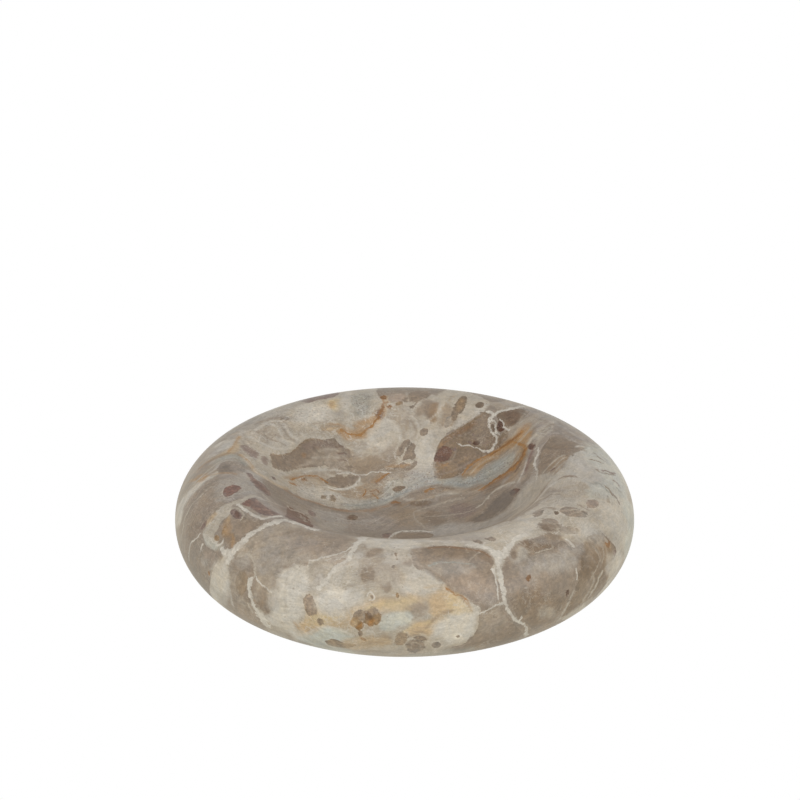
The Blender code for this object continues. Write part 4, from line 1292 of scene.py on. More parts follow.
def photo_path(section, path, side, first, last):
    """A path on the stone with its half width, cast from both edges of a line drawn on the photograph.

    Near the horizon the edges are cast far apart, so the width is held to twice what faces the camera.
    """
    path = np.asarray(path, float)
    way = np.gradient(path, axis=0)
    across = np.stack([-way[:, 1], way[:, 0]], 1) / np.linalg.norm(way, axis=1, keepdims=True)
    width = np.linspace(first, last, len(path))
    half = across * width[:, None] / 2
    edges = cast(section, path + half, side)[:, 2:] - cast(section, path - half, side)[:, 2:]
    width = np.minimum(np.linalg.norm(edges, axis=1), width * PIXEL * WIDEST_CAST)
    return smooth(np.column_stack([cast(section, path, side), width / 2]), False)


def marks(table):
    """Each row of a table as its side, its colour, its numbers and its points."""
    for row in table.strip().replace("\n ", " ").split("\n"):
        _, side, colour, *values = row.split()
        numbers = [float(value) for value in values if "," not in value]
        points = [[float(place) for place in value.split(",")] for value in values if "," in value]
        yield side, colour, numbers, points


def lay_washes(slab, table, *layers):
    """Lays a table's washes on these layers."""
    for side, colour, (softness, strength), outline in marks(table):
        outline = photo_outline(slab.section, outline, side)
        slab.lay_wash(layers, outline, colour, softness * PIXEL, strength)


def lay_strokes(slab, table, *layers):
    """Lays a table's strokes on these layers."""
    for side, colour, (softness, width, strength), path in marks(table):
        path = photo_path(slab.section, path, side, width, width)
        slab.lay_stroke(layers, path, colour, softness * PIXEL, strength)


def lay_areas(slab, table, name):
    """Lays a table's fragments in this layer."""
    for side, colour, _, outline in marks(table):
        slab.lay_area(name, photo_outline(slab.section, outline, side), colour)


def photo_marks(slab):
    """Lays the marks that the photograph shows, layer by layer from the bottom up."""
    lay_washes(slab, GROUND, "ground")
    lay_areas(slab, MATRIX, "matrix")
    lay_washes(slab, TINTS, "ground", "matrix")
    lay_strokes(slab, STROKES, "ground", "matrix")
    lay_areas(slab, PLATES, "plates")
    lay_washes(slab, SHADES, "plates")
    lay_areas(slab, CHIPS, "chips")
    lay_washes(slab, GLAZES, "ground", "matrix", "plates", "chips")
    lay_strokes(slab, LINES, "ground", "matrix", "plates", "chips")
    for side, colour, (first, last), path in marks(VEINS):
        slab.lay_vein(photo_path(slab.section, path, side, first, last), colour)
    for side, _, (strength,), outline in marks(PORES):
        slab.lay_pores(photo_outline(slab.section, outline, side), strength)


# Marks laid at random where the photograph doesn't show the stone. Sizes and lengths are in millimetres.
# Washes: layers, colour, how many, size, softness, strength.
HIDDEN_WASHES = (
    (("ground",), "taupe", 60, 22, 8, 0.7),
    (("ground",), "lilac", 40, 18, 8, 0.7),
    (("ground",), "umber", 30, 14, 8, 0.5),
    (("ground", "matrix"), "bone", 50, 12, 8, 0.5),
    (("ground", "matrix"), "fawn", 60, 14, 8, 0.6),
    (("ground", "matrix"), "slate", 30, 9, 3, 0.7),
    (("ground", "matrix"), "ochre", 70, 7, 4, 0.7),
    (("ground", "matrix"), "honey", 26, 5, 3, 0.7),
    (("ground", "matrix"), "frost", 24, 8, 3, 0.7),
)
# Fragments: layer, colour, how many, size, how much longer than wide.
HIDDEN_AREAS = (
    ("matrix", "cream", 150, 26, 1.6),
    ("plates", "taupe", 150, 15, 1.4),
    ("plates", "umber", 90, 11, 1.4),
    ("plates", "tawny", 70, 10, 1.4),
    ("plates", "olive", 50, 9, 1.4),
    ("chips", "mushroom", 200, 3, 1.5),
    ("chips", "umber", 180, 2.6, 1.5),
    ("chips", "plum", 110, 3, 1.5),
    ("chips", "wine", 36, 3.4, 1.3),
    ("chips", "russet", 60, 1.8, 1.3),
    ("chips", "cinnamon", 30, 3.4, 1.2),
)
# Veins: colour, how many, length, width.
HIDDEN_VEINS = (
    ("bone", 150, 70, 2.2),
    ("cream", 170, 45, 1.2),
    ("rust", 80, 30, 1.1),
    ("blue", 40, 40, 1.2),
    ("umber", 60, 16, 0.6),
)

# How much the random marks vary.
SIZE_RANGE = (0.4, 1.2)
LENGTH_RANGE = (0.5, 1.2)
WIDTH_RANGE = (0.6, 1.4)
WASH_STRETCH = 1.8
BLOT_POINTS = 12
BLOT_LOBES = 0.32  # of the blot's size
BLOT_TILT = 0.7
BLOT_ROOM = 1.6  # of a blot's size, kept clear of the axis
THREAD_STEPS = 9
THREAD_TILT = 1.2
THREAD_BEND = 0.45
THREAD_ROOM = 0.3  # of a thread's length, kept clear of the axis


class HiddenMarks:
    """Lays marks of the same kinds at random places that the photograph doesn't show."""

    def __init__(self, slab, seed):
        self.slab = slab
        self.section = slab.section
        self.random = np.random.default_rng(seed)

    def places(self, count):
        """Random places, even over the stone's area, with the radius there."""
        along = self.random.uniform(0, self.section.length, count)
        bearing = self.random.uniform(-math.pi, math.pi, count)
        radius = self.section.at(along)[0]
        kept = self.random.uniform(0, STONE_HIGH.x, count) < radius
        return zip(along[kept], bearing[kept], radius[kept])

    def blot(self, along, bearing, radius, size, stretch):
        """A closed outline round a place, longer one way than the other, with uneven lobes."""
        turn = np.arange(BLOT_POINTS) * TURN / BLOT_POINTS
        lobes = size * (1 + self.random.uniform(-BLOT_LOBES, BLOT_LOBES, BLOT_POINTS))
        tilt = self.random.uniform(-BLOT_TILT, BLOT_TILT)
        x, y = lobes * np.cos(turn) * math.sqrt(stretch), lobes * np.sin(turn) / math.sqrt(stretch)
        across, around = x * math.sin(tilt) + y * math.cos(tilt), x * math.cos(tilt) - y * math.sin(tilt)
        near_axis = radius <= BLOT_ROOM * size
        return None if near_axis else self.hidden(along + across, bearing + around / radius)

    def thread(self, along, bearing, radius, length, width):
        """A wandering path from a place, with its half width."""
        heading = self.random.uniform(-THREAD_TILT, THREAD_TILT)
        heading = heading + np.cumsum(self.random.normal(0, THREAD_BEND, THREAD_STEPS))
        across = along + np.cumsum(np.sin(heading)) * length / THREAD_STEPS
        around = bearing + np.cumsum(np.cos(heading)) * length / THREAD_STEPS / radius
        half = width / 2 * self.random.uniform(*WIDTH_RANGE, THREAD_STEPS)
        path = self.hidden(across, around) if radius > THREAD_ROOM * length else None
        return None if path is None else np.column_stack([path, half])

    def hidden(self, along, bearing):
        """The places on the stone, or nothing where the camera would see one of them."""
        if (along < 0).any():
            return None
        inner_along = np.concatenate([along, (along + along.mean()) / 2, [along.mean()]])
        inner_bearing = np.concatenate([bearing, (bearing + bearing.mean()) / 2, [bearing.mean()]])
        if seen(self.section, inner_along, inner_bearing).any():
            return None
        return self.section.chart(along, bearing)

    def lay(self):
        """Lays the fragments, the stains over them, and the veins."""
        slab = self.slab
        for name, colour, count, size, stretch in HIDDEN_AREAS:
            for place in self.places(count):
                path = self.blot(*place, size * MM * self.random.uniform(*SIZE_RANGE), stretch)
                if path is not None:
                    slab.lay_area(name, smooth(path, True), colour)
        for layers, colour, count, size, softness, strength in HIDDEN_WASHES:
            for place in self.places(count):
                path = self.blot(*place, size * MM * self.random.uniform(*SIZE_RANGE), WASH_STRETCH)
                if path is not None:
                    slab.lay_wash(layers, smooth(path, True), colour, softness * MM, strength)
        for colour, count, length, width in HIDDEN_VEINS:
            for place in self.places(count):
                size = length * MM * self.random.uniform(*LENGTH_RANGE)
                path = self.thread(*place, size, width * MM)
                if path is not None:
                    slab.lay_vein(smooth(path, False), colour)


def stone_grid(section):
    """The stone's vertices: distances along the section and bearings, as rows and columns.

    Columns stand closer where they face the camera: the bearing is t - c sin t. Rows gather on the outer
    rim at the front and in the dish at the back, blended by the cosine of the bearing.
    """
    turn = np.arange(COLUMNS) / COLUMNS * TURN
    turn = turn - NEAR_COLUMN_SHARE * np.sin(turn)
    dish_stops = np.array([0, 0.3, 0.62, 1]) * section.dish_end
    rim_stops = section.dish_end + np.array([0.17, 0.4, 0.75, 1]) * (section.rim_end - section.dish_end)
    stops = np.concatenate([dish_stops, rim_stops, [section.length]])
    # The share of the rows that is used up at each stop, at the front and at the back.
    near = np.array([0, 0.08, 0.145, 0.24, 0.33, 0.56, 0.86, 0.95, 1])
    far = np.array([0, 0.10, 0.27, 0.46, 0.60, 0.78, 0.90, 0.95, 1])
    share = np.linspace(0, 1, ROWS + 1)
    fronts, backs = np.interp(share, near, stops), np.interp(share, far, stops)
    facing = (1 + np.cos(turn)) / 2
    along = backs[:, None] + (fronts - backs)[:, None] * facing
    bearing = np.broadcast_to(turn - math.pi / 2, along.shape)
    return along, bearing


def grid_faces(rows, columns):
    """Quads of a closed ring of columns, with a fan of triangles to the first and the last point.

    The points are the first pole, then the rows, then the last pole.
    """
    column = np.arange(columns)
    beside = (column + 1) % columns
    base = 1 + np.arange(rows - 1)[:, None] * columns
    quads = np.stack([base + column, base + columns + column, base + columns + beside, base + beside], -1)
    last = 1 + (rows - 1) * columns
    pole = last + columns
    first_fan = np.stack([np.zeros(columns, int), 1 + column, 1 + beside], -1)
    last_fan = np.stack([last + column, np.full(columns, pole), last + beside], -1)
    return quads.reshape(-1, 4).tolist() + first_fan.tolist() + last_fan.tolist()


def capped(values):
    """Rows of values without the repeats of the first and the last row, which are single points."""
    return np.concatenate([values[:1, 0], values[1:-1].reshape(-1, *values.shape[2:]), values[-1:, 0]])


def make_object(name, points, faces, material):
    """A shaded-smooth mesh object, with its place in its mesh."""
    mesh = bpy.data.meshes.new(name)
    mesh.from_pydata(points.tolist(), [], faces)
    mesh.shade_smooth()
    mesh.materials.append(material)
    made = bpy.data.objects.new(name, mesh)
    bpy.context.scene.collection.objects.link(made)
    return made


def store(mesh, name, values, last=None):
    """Keeps values for each vertex for the materials: three numbers, or a colour with a fourth."""
    kind, field = ("FLOAT_VECTOR", "vector") if last is None else ("FLOAT_COLOR", "color")
    values = values if last is None else np.column_stack([values, last])
    values = np.ascontiguousarray(values, np.float32)
    mesh.attributes.new(name, kind, "POINT").data.foreach_set(field, values.ravel())


def flow_lines(slab, chart):
    """Coordinates for streaks: along the guide line, across it and how near it is, then round the bowl."""
    guide = photo_path(slab.section, FLOW, "open", 1, 1)
    chosen = np.arange(len(chart))
    distance, nearest, share, side, _ = slab.measure(chosen, guide, False)
    steps = np.linalg.norm(np.diff(guide[:, 2:5], axis=0), axis=1)
    travelled = np.concatenate([[0], np.cumsum(steps)])[nearest] + share * steps[nearest]
    near = 1 - ease((distance - FLOW_NEAR) / (FLOW_FAR - FLOW_NEAR))
    swirl = waves(slab.points, SWIRL_SIZE * MM, SWIRL_SEED) * SWIRL_SWAY * MM
    guided = np.column_stack([travelled * FLOW_ALONG, (distance * side + swirl) * FLOW_ACROSS, near])
    along, bearing = np.hypot(chart[:, 0], chart[:, 1]), np.arctan2(chart[:, 1], chart[:, 0])
    ring = np.stack([np.cos(bearing), np.sin(bearing)], -1) * FLOW_ROUND
    return guided, np.column_stack([ring, (along + swirl) * FLOW_ACROSS])


class Graph:
    """Adds shader nodes to a material, joined to what feeds them."""

    def __init__(self, name):
        self.material = bpy.data.materials.new(name)
        self.material.use_nodes = True
        self.tree = self.material.node_tree
        self.shader = self.tree.nodes["Principled BSDF"]
        self.place = self.add("ShaderNodeTexCoord").outputs["Object"]

    def add(self, kind, inputs=None, **settings):
        """One node. An input is a value or another node's output."""
        made = self.tree.nodes.new(kind)
        for key, value in settings.items():
            setattr(made, key, value)
        self.feed(made, inputs or {})
        return made

    def feed(self, made, inputs):
        """Sets or joins a node's inputs."""
        for key, value in inputs.items():
            if isinstance(value, bpy.types.NodeSocket):
                self.tree.links.new(value, made.inputs[key])
            else:
                made.inputs[key].default_value = value

    def math(self, operation, first, second=0.0, third=0.0):
        """A sum, product or other step on one to three values."""
        return self.add("ShaderNodeMath", {0: first, 1: second, 2: third}, operation=operation).outputs[0]

    def times(self, *values):
        """The product of all the values."""
        product = values[0]
        for value in values[1:]:
            product = self.math("MULTIPLY", product, value)
        return product

    def noise(self, scale, detail=3.0, roughness=0.55, distortion=0.0, vector=None):
        """A cloudy value around 0.5. The scale is in clouds to the metre."""
        inputs = {"Vector": vector or self.place, "Scale": scale, "Detail": detail, "Roughness": roughness,
                  "Distortion": distortion}
        return self.add("ShaderNodeTexNoise", inputs).outputs["Fac"]

    def ramp(self, value, low, high, start=0.0, end=1.0):
        """Eases from start to end while the value goes from low to high."""
        inputs = {"Value": value, "From Min": low, "From Max": high, "To Min": start, "To Max": end}
        return self.add("ShaderNodeMapRange", inputs, interpolation_type="SMOOTHSTEP").outputs["Result"]

    def mix(self, share, first, second):
        """Blends two colours."""
        inputs = {0: share, 6: first, 7: second}
        return self.add("ShaderNodeMix", inputs, data_type="RGBA").outputs[2]

    def scaled(self, colour, value):
        """A colour made lighter or darker by a value."""
        made = self.add("ShaderNodeVectorMath", {0: colour}, operation="SCALE")
        self.feed(made, {"Scale": value})
        return made.outputs[0]

    def attribute(self, name):
        """A value kept on the mesh."""
        return self.add("ShaderNodeAttribute", attribute_name=name).outputs

    def split(self, vector):
        """The three numbers of a vector."""
        return self.add("ShaderNodeSeparateXYZ", {0: vector}).outputs

    def isoline(self, noise, level, width):
        """A thin line where a noise crosses a level."""
        return self.ramp(self.math("ABSOLUTE", self.math("SUBTRACT", noise, level)), width, 0)

    def flecks(self, scale, low, high, crowd, vector=None):
        """Scattered spots, one to a cell: a cell's random number sets its size between low and high
        millimetres, and cells whose number is above crowd have none."""
        cells = self.add("ShaderNodeTexVoronoi", {"Vector": vector or self.place, "Scale": scale}).outputs
        number = self.split(cells["Color"])[0]
        size = self.ramp(number, 0, crowd, high, low)
        size = self.math("MULTIPLY", size, self.math("LESS_THAN", number, crowd))
        depth = self.math("MULTIPLY_ADD", cells["Distance"], -1 / (scale * MM), size)
        return self.ramp(depth, -0.12, 0.22)


class StoneGraph(Graph):
    """The stone's material, with the noises that its layers share.

    A noise is given by its clouds to the metre, detail, roughness and distortion.
    """

    def __init__(self, colours):
        super().__init__("honed_stone")
        names = ("bone", "umber", "plum", "mushroom", "cream")
        self.tone = {name: (*getattr(colours, name), 1) for name in names}
        self.clouds = self.noise(24, 4, 0.6, 0.6)
        self.swirls = self.noise(42, 6, 0.68, 2.2)
        self.mottle = self.noise(150, 6, 0.7, 1.0)
        self.ragged = self.noise(100, 5, 0.66, 0.8)
        self.wobble = self.noise(340, 4, 0.68, 0.5)
        self.patches = self.noise(36, 3, 0.55)
        self.roughness = self.ramp(self.noise(46, 3, 0.5), 0.42, 0.6, 0.45, 1.9)
        self.streaks = self.flowing(1.0)
        self.hatching = self.flowing(2.7)
        flowing = self.flowing(1.5)
        self.flow_threads = self.isoline(flowing, 0.53, 0.014)
        self.flow_hairs = self.isoline(flowing, 0.46, 0.011)
        self.threads = self.isoline(self.noise(60, 4, 0.6, 1.4), 0.5, 0.022)
        self.fine_threads = self.isoline(self.noise(150, 4, 0.62, 1.6), 0.5, 0.026)
        self.hairs = self.isoline(self.noise(95, 3, 0.6, 2.2), 0.46, 0.011)
        self.net = self.isoline(self.noise(300, 3, 0.6, 1.6), 0.5, 0.03)
        shake = self.add("ShaderNodeTexNoise", {"Vector": self.place, "Scale": 420.0, "Detail": 3.0})
        sum_inputs = {0: self.scaled(shake.outputs["Color"], 0.0026), 1: self.place}
        self.shaken = self.add("ShaderNodeVectorMath", sum_inputs, operation="ADD").outputs[0]
        self.specks = self.noise(600, 3, 0.65, 0.6, vector=self.shaken)
        self.grain = self.noise(720, 2, 0.6, vector=self.shaken)

    def flowing(self, scale):
        """Streaks along the guide line, and round the bowl away from it."""
        flow = self.attribute("flow")["Vector"]
        along_guide = self.noise(scale, 3, 0.56, 1.0, vector=flow)
        round_bowl = self.noise(scale, 3, 0.56, 1.0, vector=self.attribute("rings")["Vector"])
        change = self.math("SUBTRACT", along_guide, round_bowl)
        return self.math("MULTIPLY_ADD", change, self.split(flow)[2], round_bowl)

    def light(self, noise, share):
        """A factor around 1, from a noise."""
        return self.ramp(noise, 0.34, 0.66, 1 - share, 1 + share)

    def lights(self, *factors, **shares):
        """The product of the factors and of a factor around 1 from each named noise."""
        lights = (self.light(getattr(self, name), share) for name, share in shares.items())
        return self.times(*factors, *lights)

    def shift(self, value, noise, amount):
        """A value with a noise added that is even round 0."""
        return self.math("ADD", value, self.math("MULTIPLY_ADD", noise, amount, -amount / 2))

    def tinted(self, colour, noise):
        """A colour made warmer or cooler by a noise."""
        tint = self.mix(self.ramp(noise, 0.38, 0.62), (0.985, 1, 1.03, 1), (1.02, 0.997, 0.955, 1))
        return self.add("ShaderNodeVectorMath", {0: colour, 1: tint}, operation="MULTIPLY").outputs[0]

    def painted(self, colour, name, *shares):
        """A colour with a tone painted over it, as strongly as the product of the shares."""
        return self.mix(self.times(*shares), colour, self.tone[name])

    def speckled(self, colour, name, strength, scale, low, high, crowd):
        """A colour with flecks of a tone on it."""
        return self.painted(colour, name, self.flecks(scale, low, high, crowd, self.shaken), strength)

    def cover(self, kept, broad, fine, soft):
        """A layer's distance in millimetres, shaken by noises, and how much of the layer shows there.

        Broad and fine are how far the noises shake it, and soft is how wide its edge is. Where the
        roughness is high the edge breaks up, and where it is low the edge is crisp.
        """
        distance = self.math("MULTIPLY", kept["Alpha"], 1 / MM)
        shake = self.shift(self.shift(0.0, self.ragged, broad), self.wobble, fine)
        shake = self.shift(shake, self.grain, fine / 2)
        distance = self.math("MULTIPLY_ADD", shake, self.roughness, distance)
        edge = self.math("MULTIPLY", self.roughness, soft)
        return distance, self.ramp(distance, edge, self.math("MULTIPLY", edge, -1.0))


def stone_ground(graph, kept):
    """The ground: streaks round the bowl, mottling and a few threads."""
    colour = graph.tinted(kept["Color"], graph.swirls)
    colour = graph.scaled(colour, graph.lights(streaks=0.09, mottle=0.08, hatching=0.05))
    colour = graph.painted(colour, "bone", graph.fine_threads, graph.ramp(graph.patches, 0.44, 0.6), 0.3)
    colour = graph.painted(colour, "bone", graph.flow_threads, graph.ramp(graph.patches, 0.6, 0.46), 0.3)
    colour = graph.speckled(colour, "bone", strength=0.4, scale=230, low=0.25, high=0.6, crowd=0.12)
    return graph.speckled(colour, "plum", strength=0.45, scale=250, low=0.25, high=0.7, crowd=0.12)


def stone_matrix(graph, colour):
    """The pale matrix: streaks and swirls with threads, brown hairs, clots and dark flecks."""
    kept = graph.attribute("matrix")
    _, shown = graph.cover(kept, broad=11.0, fine=4.0, soft=1.0)
    within = graph.tinted(kept["Color"], graph.ragged)
    within = graph.scaled(within, graph.lights(streaks=0.065, hatching=0.04, swirls=0.075, mottle=0.05))
    thready = graph.ramp(graph.patches, 0.44, 0.6)
    within = graph.painted(within, "bone", graph.threads, thready, 0.65)
    within = graph.painted(within, "bone", graph.fine_threads, thready, 0.45)
    within = graph.painted(within, "umber", graph.hairs, graph.ramp(graph.clouds, 0.42, 0.6), 0.5)
    streaky = graph.ramp(graph.clouds, 0.58, 0.46)
    within = graph.painted(within, "bone", graph.flow_threads, streaky, 0.6)
    within = graph.painted(within, "umber", graph.flow_hairs, streaky, 0.55)
    within = graph.speckled(within, "mushroom", strength=0.5, scale=150, low=0.3, high=1.2, crowd=0.3)
    within = graph.speckled(within, "umber", strength=0.45, scale=330, low=0.25, high=0.6, crowd=0.2)
    colour = graph.mix(shown, colour, within)
    return graph.speckled(colour, "plum", strength=0.65, scale=210, low=0.25, high=0.6, crowd=0.16)


def plate_pattern(graph, within, distance):
    """Swirls, pale threads, brown hairs and flecks in the larger fragments, with a gnawed pale border."""
    within = graph.scaled(within, graph.lights(swirls=0.1, hatching=0.045))
    within = graph.painted(within, "bone", graph.fine_threads, graph.ramp(graph.patches, 0.5, 0.6), 0.35)
    within = graph.painted(within, "umber", graph.hairs, graph.ramp(graph.clouds, 0.52, 0.42), 0.45)
    within = graph.speckled(within, "bone", strength=0.4, scale=170, low=0.25, high=0.6, crowd=0.14)
    within = graph.speckled(within, "plum", strength=0.5, scale=190, low=0.3, high=0.9, crowd=0.18)
    border = graph.ramp(distance, -5.0, -0.5)
    return graph.painted(within, "cream", border, graph.ramp(graph.wobble, 0.56, 0.64), 0.5)


def chip_pattern(graph, within, _):
    """Mottling and a pale net in the smaller fragments."""
    within = graph.scaled(within, graph.lights(wobble=0.12, specks=0.1))
    within = graph.scaled(within, graph.light(graph.ragged, 0.1))
    return graph.painted(within, "cream", graph.net, graph.ramp(graph.mottle, 0.48, 0.6), 0.45)


def stone_fragments(graph, colour, name, pattern, broad, fine, soft):
    """A layer of fragments: a paler ring round each, then a darker border and a pattern within."""
    kept = graph.attribute(name)
    distance, shown = graph.cover(kept, broad, fine, soft)
    colour = graph.scaled(colour, graph.ramp(distance, 0.2, 1.7, 1.08, 1))
    light = graph.lights(graph.ramp(distance, -1.7, -0.2, 1, 0.92), mottle=0.13, wobble=0.06)
    within = graph.scaled(graph.tinted(kept["Color"], graph.ragged), light)
    return graph.mix(shown, colour, pattern(graph, within, distance))


def stone_veins(graph, colour):
    """The veins: crinkled lines that swell, thin out and fade."""
    for number in range(LINE_CHANNELS):
        across, half, _ = graph.split(graph.attribute(f"vein_{number}")["Vector"])
        moved = graph.shift(graph.shift(across, graph.wobble, VEIN_WOBBLE), graph.ragged, VEIN_WANDER)
        half = graph.times(half, graph.ramp(graph.mottle, 0.36, 0.64, 0.5, 1.3))
        depth = graph.math("MULTIPLY", graph.math("SUBTRACT", half, graph.math("ABSOLUTE", moved)), 1 / MM)
        edge = graph.math("MULTIPLY", graph.roughness, 0.35)
        shown = graph.ramp(depth, graph.math("MULTIPLY", edge, -1.0), edge)
        shown = graph.times(shown, graph.ramp(graph.ragged, 0.36, 0.54, 0.55, 0.95))
        tone = graph.attribute(f"vein_colour_{number}")["Color"]
        colour = graph.mix(shown, colour, graph.scaled(tone, graph.light(graph.wobble, 0.12)))
    return colour


def make_honed_stone(colours):
    """Honed brecciated marble: streaked ground, pale matrix, ragged fragments, veins, flecks and pores."""
    graph = StoneGraph(colours)
    ground = graph.attribute("ground")
    colour = stone_matrix(graph, stone_ground(graph, ground))
    colour = stone_fragments(graph, colour, "plates", plate_pattern, broad=8.0, fine=3.0, soft=0.6)
    colour = stone_fragments(graph, colour, "chips", chip_pattern, broad=2.2, fine=2.4, soft=0.4)
    colour = stone_veins(graph, colour)
    colour = graph.painted(colour, "plum", graph.flecks(600, 0.3, 0.62, 0.75), ground["Alpha"], 0.9)
    rough = graph.math("MULTIPLY_ADD", ground["Alpha"], 1.2, 0.15)
    crisp = graph.math("MULTIPLY_ADD", graph.shift(0.0, graph.specks, 1.0), rough, 1.0)
    light = graph.times(graph.lights(clouds=0.05, grain=0.07), crisp)
    bump = graph.add("ShaderNodeBump", {"Height": graph.grain, "Strength": 0.12, "Distance": 0.0003})
    graph.feed(graph.shader, {
        "Base Color": graph.scaled(colour, light), "Metallic": 0.0, "IOR": 1.5,
        "Roughness": graph.ramp(graph.mottle, 0.3, 0.7, 0.36, 0.46), "Normal": bump.outputs[0],
    })
    return graph.material


def make_grey_felt(colour):
    """Pressed wool felt: matted fibres in uneven grey, with a soft sheen."""
    graph = Graph("grey_felt")
    fibres = graph.noise(1500, 5, 0.75, 2.5)
    tufts = graph.noise(380, 3, 0.6)
    shade = graph.times(graph.ramp(fibres, 0.25, 0.75, 0.55, 1.5), graph.ramp(tufts, 0.2, 0.8, 0.8, 1.2))
    height = graph.math("MULTIPLY_ADD", tufts, 0.5, fibres)
    bump = graph.add("ShaderNodeBump", {"Height": height, "Strength": 0.8, "Distance": 0.0006})
    graph.feed(graph.shader, {
        "Base Color": graph.scaled(tuple(colour), shade), "Roughness": 0.95, "Sheen Weight": 0.4,
        "Normal": bump.outputs[0],
    })
    return graph.material


def make_lit_floor():
    """The studio's white floor. It looks evenly lit, and throws less light up from near the bowl."""
    graph = Graph("white_floor")
    reach = graph.add("ShaderNodeVectorMath", {0: graph.place}, operation="LENGTH").outputs["Value"]
    shaded = graph.ramp(reach, *FLOOR_SHADE, 1.0)
    seen_by_camera = graph.add("ShaderNodeLightPath").outputs["Is Camera Ray"]
    strength = graph.math("MAXIMUM", shaded, seen_by_camera)
    tint = graph.mix(seen_by_camera, FLOOR_TINT, (1, 1, 1, 1))
    graph.feed(graph.shader, {
        "Base Color": (0, 0, 0, 1), "Roughness": 1.0, "Specular IOR Level": 0.0,
        "Emission Color": tint, "Emission Strength": strength,
    })
    return graph.material


class STONEBOWL_OT_turn_stone(bpy.types.Operator):
    """Turns the stone and draws its fragments and veins"""

    bl_idname = "stonebowl.turn_stone"
    bl_label = "Turn Stone"

    def execute(self, context):
        sizes = context.scene.stone_bowl
        section = Section(sizes.rim_thickness, sizes.dish_depth)
        chart = capped(section.chart(*stone_grid(section)))
        slab = Slab(section, chart, sizes.colours)
        HiddenMarks(slab, sizes.seed).lay()
        photo_marks(slab)

        material = make_honed_stone(sizes.colours)
        stone = make_object("turned_stone", slab.points, grid_faces(ROWS - 1, COLUMNS), material)
        for name, tones in slab.tones.items():
            store(stone.data, name, tones, slab.gaps.get(name, slab.pores))
        for number, (distances, widths, tones) in enumerate(slab.veins):
            store(stone.data, f"vein_{number}", np.column_stack([distances, widths, widths * 0]))
            store(stone.data, f"vein_colour_{number}", tones, widths * 0 + 1)
        for name, values in zip(("flow", "rings"), flow_lines(slab, chart)):
            store(stone.data, name, values)

        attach(stone, BODY)
        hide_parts("stone_bowl")
        return {"FINISHED"}


def felt_disc(low, high, edge, seed):
    """A round pad in a box: a half section of two flats and a rounded side, turned, with an uneven cut."""
    middle = (low + high) / 2
    outer, half = (high.x - low.x) / 2, (high.z - low.z) / 2
    corner = np.linspace(-math.pi / 2, 0, FELT_CORNER_STEPS)
    radius = outer - edge + edge * np.cos(corner)
    height = edge - half + edge * np.sin(corner)
    inward = np.linspace(0, outer - edge, FELT_FLAT_STEPS + 1)[1:-1]
    radius = np.concatenate([inward, radius, radius[::-1], inward[::-1]])
    top = np.full(len(inward), half)
    height = np.concatenate([-top, height, -height[::-1], top])
    turn = np.arange(FELT_COLUMNS) / FELT_COLUMNS * TURN
    ring = np.stack([np.cos(turn), np.sin(turn), np.zeros(FELT_COLUMNS)], -1)
    rows = radius[:, None, None] * ring
    rows[..., 2] += height[:, None]
    points = np.concatenate([[[0, 0, -half]], rows.reshape(-1, 3), [[0, 0, half]]])
    wave = np.minimum(waves(points, FELT_WAVE * MM, seed) * FELT_DENT * MM, 0)
    points[:, :2] *= (1 + wave / outer)[:, None]
    faces = [face[::-1] for face in grid_faces(len(radius), FELT_COLUMNS)]
    return points + np.array(middle), faces


class STONEBOWL_OT_felt_pads(bpy.types.Operator):
    """Cuts the felt pads under the foot"""

    bl_idname = "stonebowl.felt_pads"
    bl_label = "Felt Pads"

    def execute(self, context):
        sizes = context.scene.stone_bowl
        material = make_grey_felt(sizes.colours.felt)
        for number, (node, (low, high)) in enumerate(zip(PAD_NODES, PAD_BOXES)):
            pad = make_object(f"grey_{node}", *felt_disc(low, high, sizes.felt_edge, number), material)
            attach(pad, BODY)
            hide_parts(node)
        return {"FINISHED"}


def make_backdrop():
    """White surroundings for the camera, and dimmer ones for the light that falls on the bowl."""
    world = bpy.data.worlds.new("studio")
    world.use_nodes = True
    nodes, links = world.node_tree.nodes, world.node_tree.links
    backdrop = nodes["Background"]
    backdrop.inputs["Color"].default_value = (1, 1, 1, 1)
    path = nodes.new("ShaderNodeLightPath")
    strength = nodes.new("ShaderNodeMapRange")
    strength.inputs["To Min"].default_value = SURROUNDING_LIGHT
    strength.inputs["To Max"].default_value = 1.0
    links.new(path.outputs["Is Camera Ray"], strength.inputs["Value"])
    links.new(strength.outputs["Result"], backdrop.inputs["Strength"])
    return world


def hang_lamp(name, place, width, power):
    """A soft square lamp that points at the bowl's middle and that the camera doesn't see."""
    light = bpy.data.lights.new(name, "AREA")
    light.shape = "SQUARE"
    light.size = width
    light.energy = power
    lamp = bpy.data.objects.new(name, light)
    lamp.location = place
    way = Vector((0, 0, STONE_HIGH.z / 2)) - Vector(place)
    lamp.rotation_euler = way.to_track_quat("-Z", "Y").to_euler()
    lamp.visible_camera = False
    bpy.context.scene.collection.objects.link(lamp)


def place_camera(height):
    """The camera that took the photograph, aimed at this height on the axis and shifted to its framing."""
    lens = bpy.data.cameras.new("photo_camera")
    lens.sensor_width = SENSOR
    lens.lens = SENSOR * FOCAL_PIXELS / PHOTO_SIDE
    lens.shift_x = 0.5 - AIM_PIXEL[0] / PHOTO_SIDE
    lens.shift_y = AIM_PIXEL[1] / PHOTO_SIDE - 0.5
    camera = bpy.data.objects.new("photo_camera", lens)
    place, _, _, back = camera_axes()
    camera.location = Vector(place) + Vector((0, 0, height))
    camera.rotation_euler = (-Vector(back)).to_track_quat("-Z", "Y").to_euler()
    bpy.context.scene.collection.objects.link(camera)
    return camera


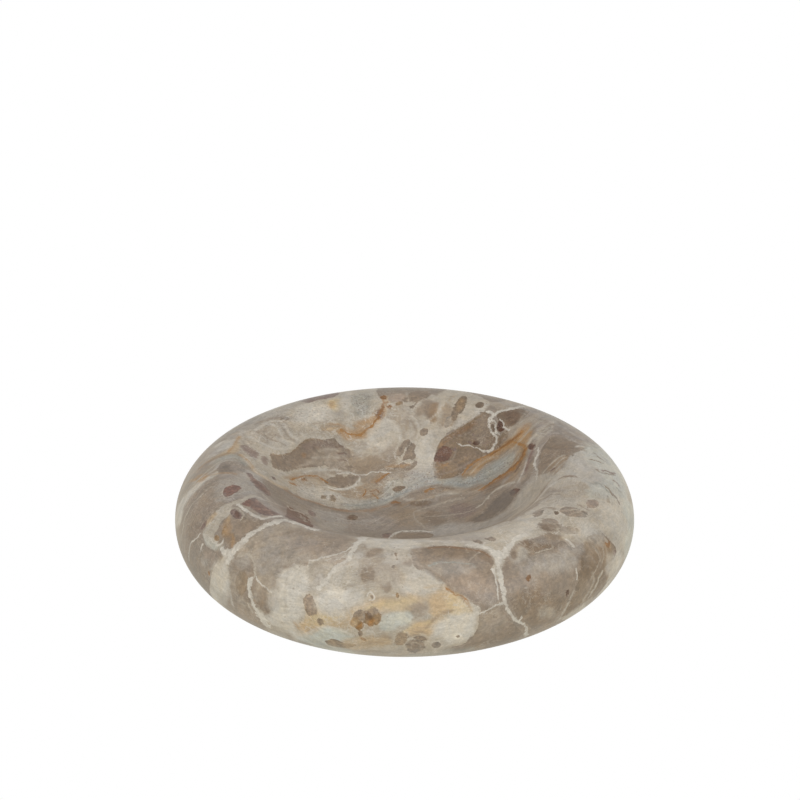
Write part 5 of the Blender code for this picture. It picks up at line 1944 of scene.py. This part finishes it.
class STONEBOWL_OT_stage(bpy.types.Operator):
    """Sets up the floor, the lights and the camera"""

    bl_idname = "stonebowl.stage"
    bl_label = "Studio"

    def execute(self, context):
        scene = context.scene
        sizes = scene.stone_bowl
        scene.view_settings.view_transform = "Standard"
        side = sizes.floor_radius
        corners = np.array([(-side, -side, 0), (side, -side, 0), (side, side, 0), (-side, side, 0)])
        make_object("floor", corners, [(0, 1, 2, 3)], make_lit_floor())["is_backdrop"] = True
        scene.world = make_backdrop()
        for lamp in LAMPS:
            hang_lamp(*lamp)
        scene.camera = place_camera(STONE_HIGH.z - sizes.rim_thickness / 2)
        return {"FINISHED"}


class STONEBOWL_PT_panel(bpy.types.Panel):
    """Lists the bowl's pieces, sizes and colours"""

    bl_label = "Stone Bowl"
    bl_idname = "STONEBOWL_PT_panel"
    bl_space_type = "VIEW_3D"
    bl_region_type = "UI"
    bl_category = "Stone Bowl"

    def draw(self, context):
        sizes = context.scene.stone_bowl
        column = self.layout.column(align=True)
        for maker in MAKERS:
            column.operator(maker.bl_idname)
        for name in ("rim_thickness", "dish_depth", "felt_edge", "seed", "floor_radius"):
            self.layout.prop(sizes, name)
        for name in StoneBowlColours.__annotations__:
            self.layout.prop(sizes.colours, name)


MAKERS = (STONEBOWL_OT_stage, STONEBOWL_OT_turn_stone, STONEBOWL_OT_felt_pads)
CLASSES = (StoneBowlColours, StoneBowlSizes, *MAKERS, STONEBOWL_PT_panel)


def register():
    """Adds the classes, and the sizes to the scene."""
    for made in CLASSES:
        bpy.utils.register_class(made)
    bpy.types.Scene.stone_bowl = PointerProperty(type=StoneBowlSizes)


def unregister():
    """Takes them away again."""
    del bpy.types.Scene.stone_bowl
    for made in reversed(CLASSES):
        bpy.utils.unregister_class(made)


def main():
    """Makes the bowl and its studio, and measures the boxes of the frame and of what was made."""
    register()
    bpy.ops.stonebowl.stage()
    bpy.ops.stonebowl.turn_stone()
    bpy.ops.stonebowl.felt_pads()
    boxes = {"cad": CAD_BOX, "visual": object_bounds()}
    {name: [list(corner) for corner in box] for name, box in boxes.items()}


if __name__ == "__main__":
    main()
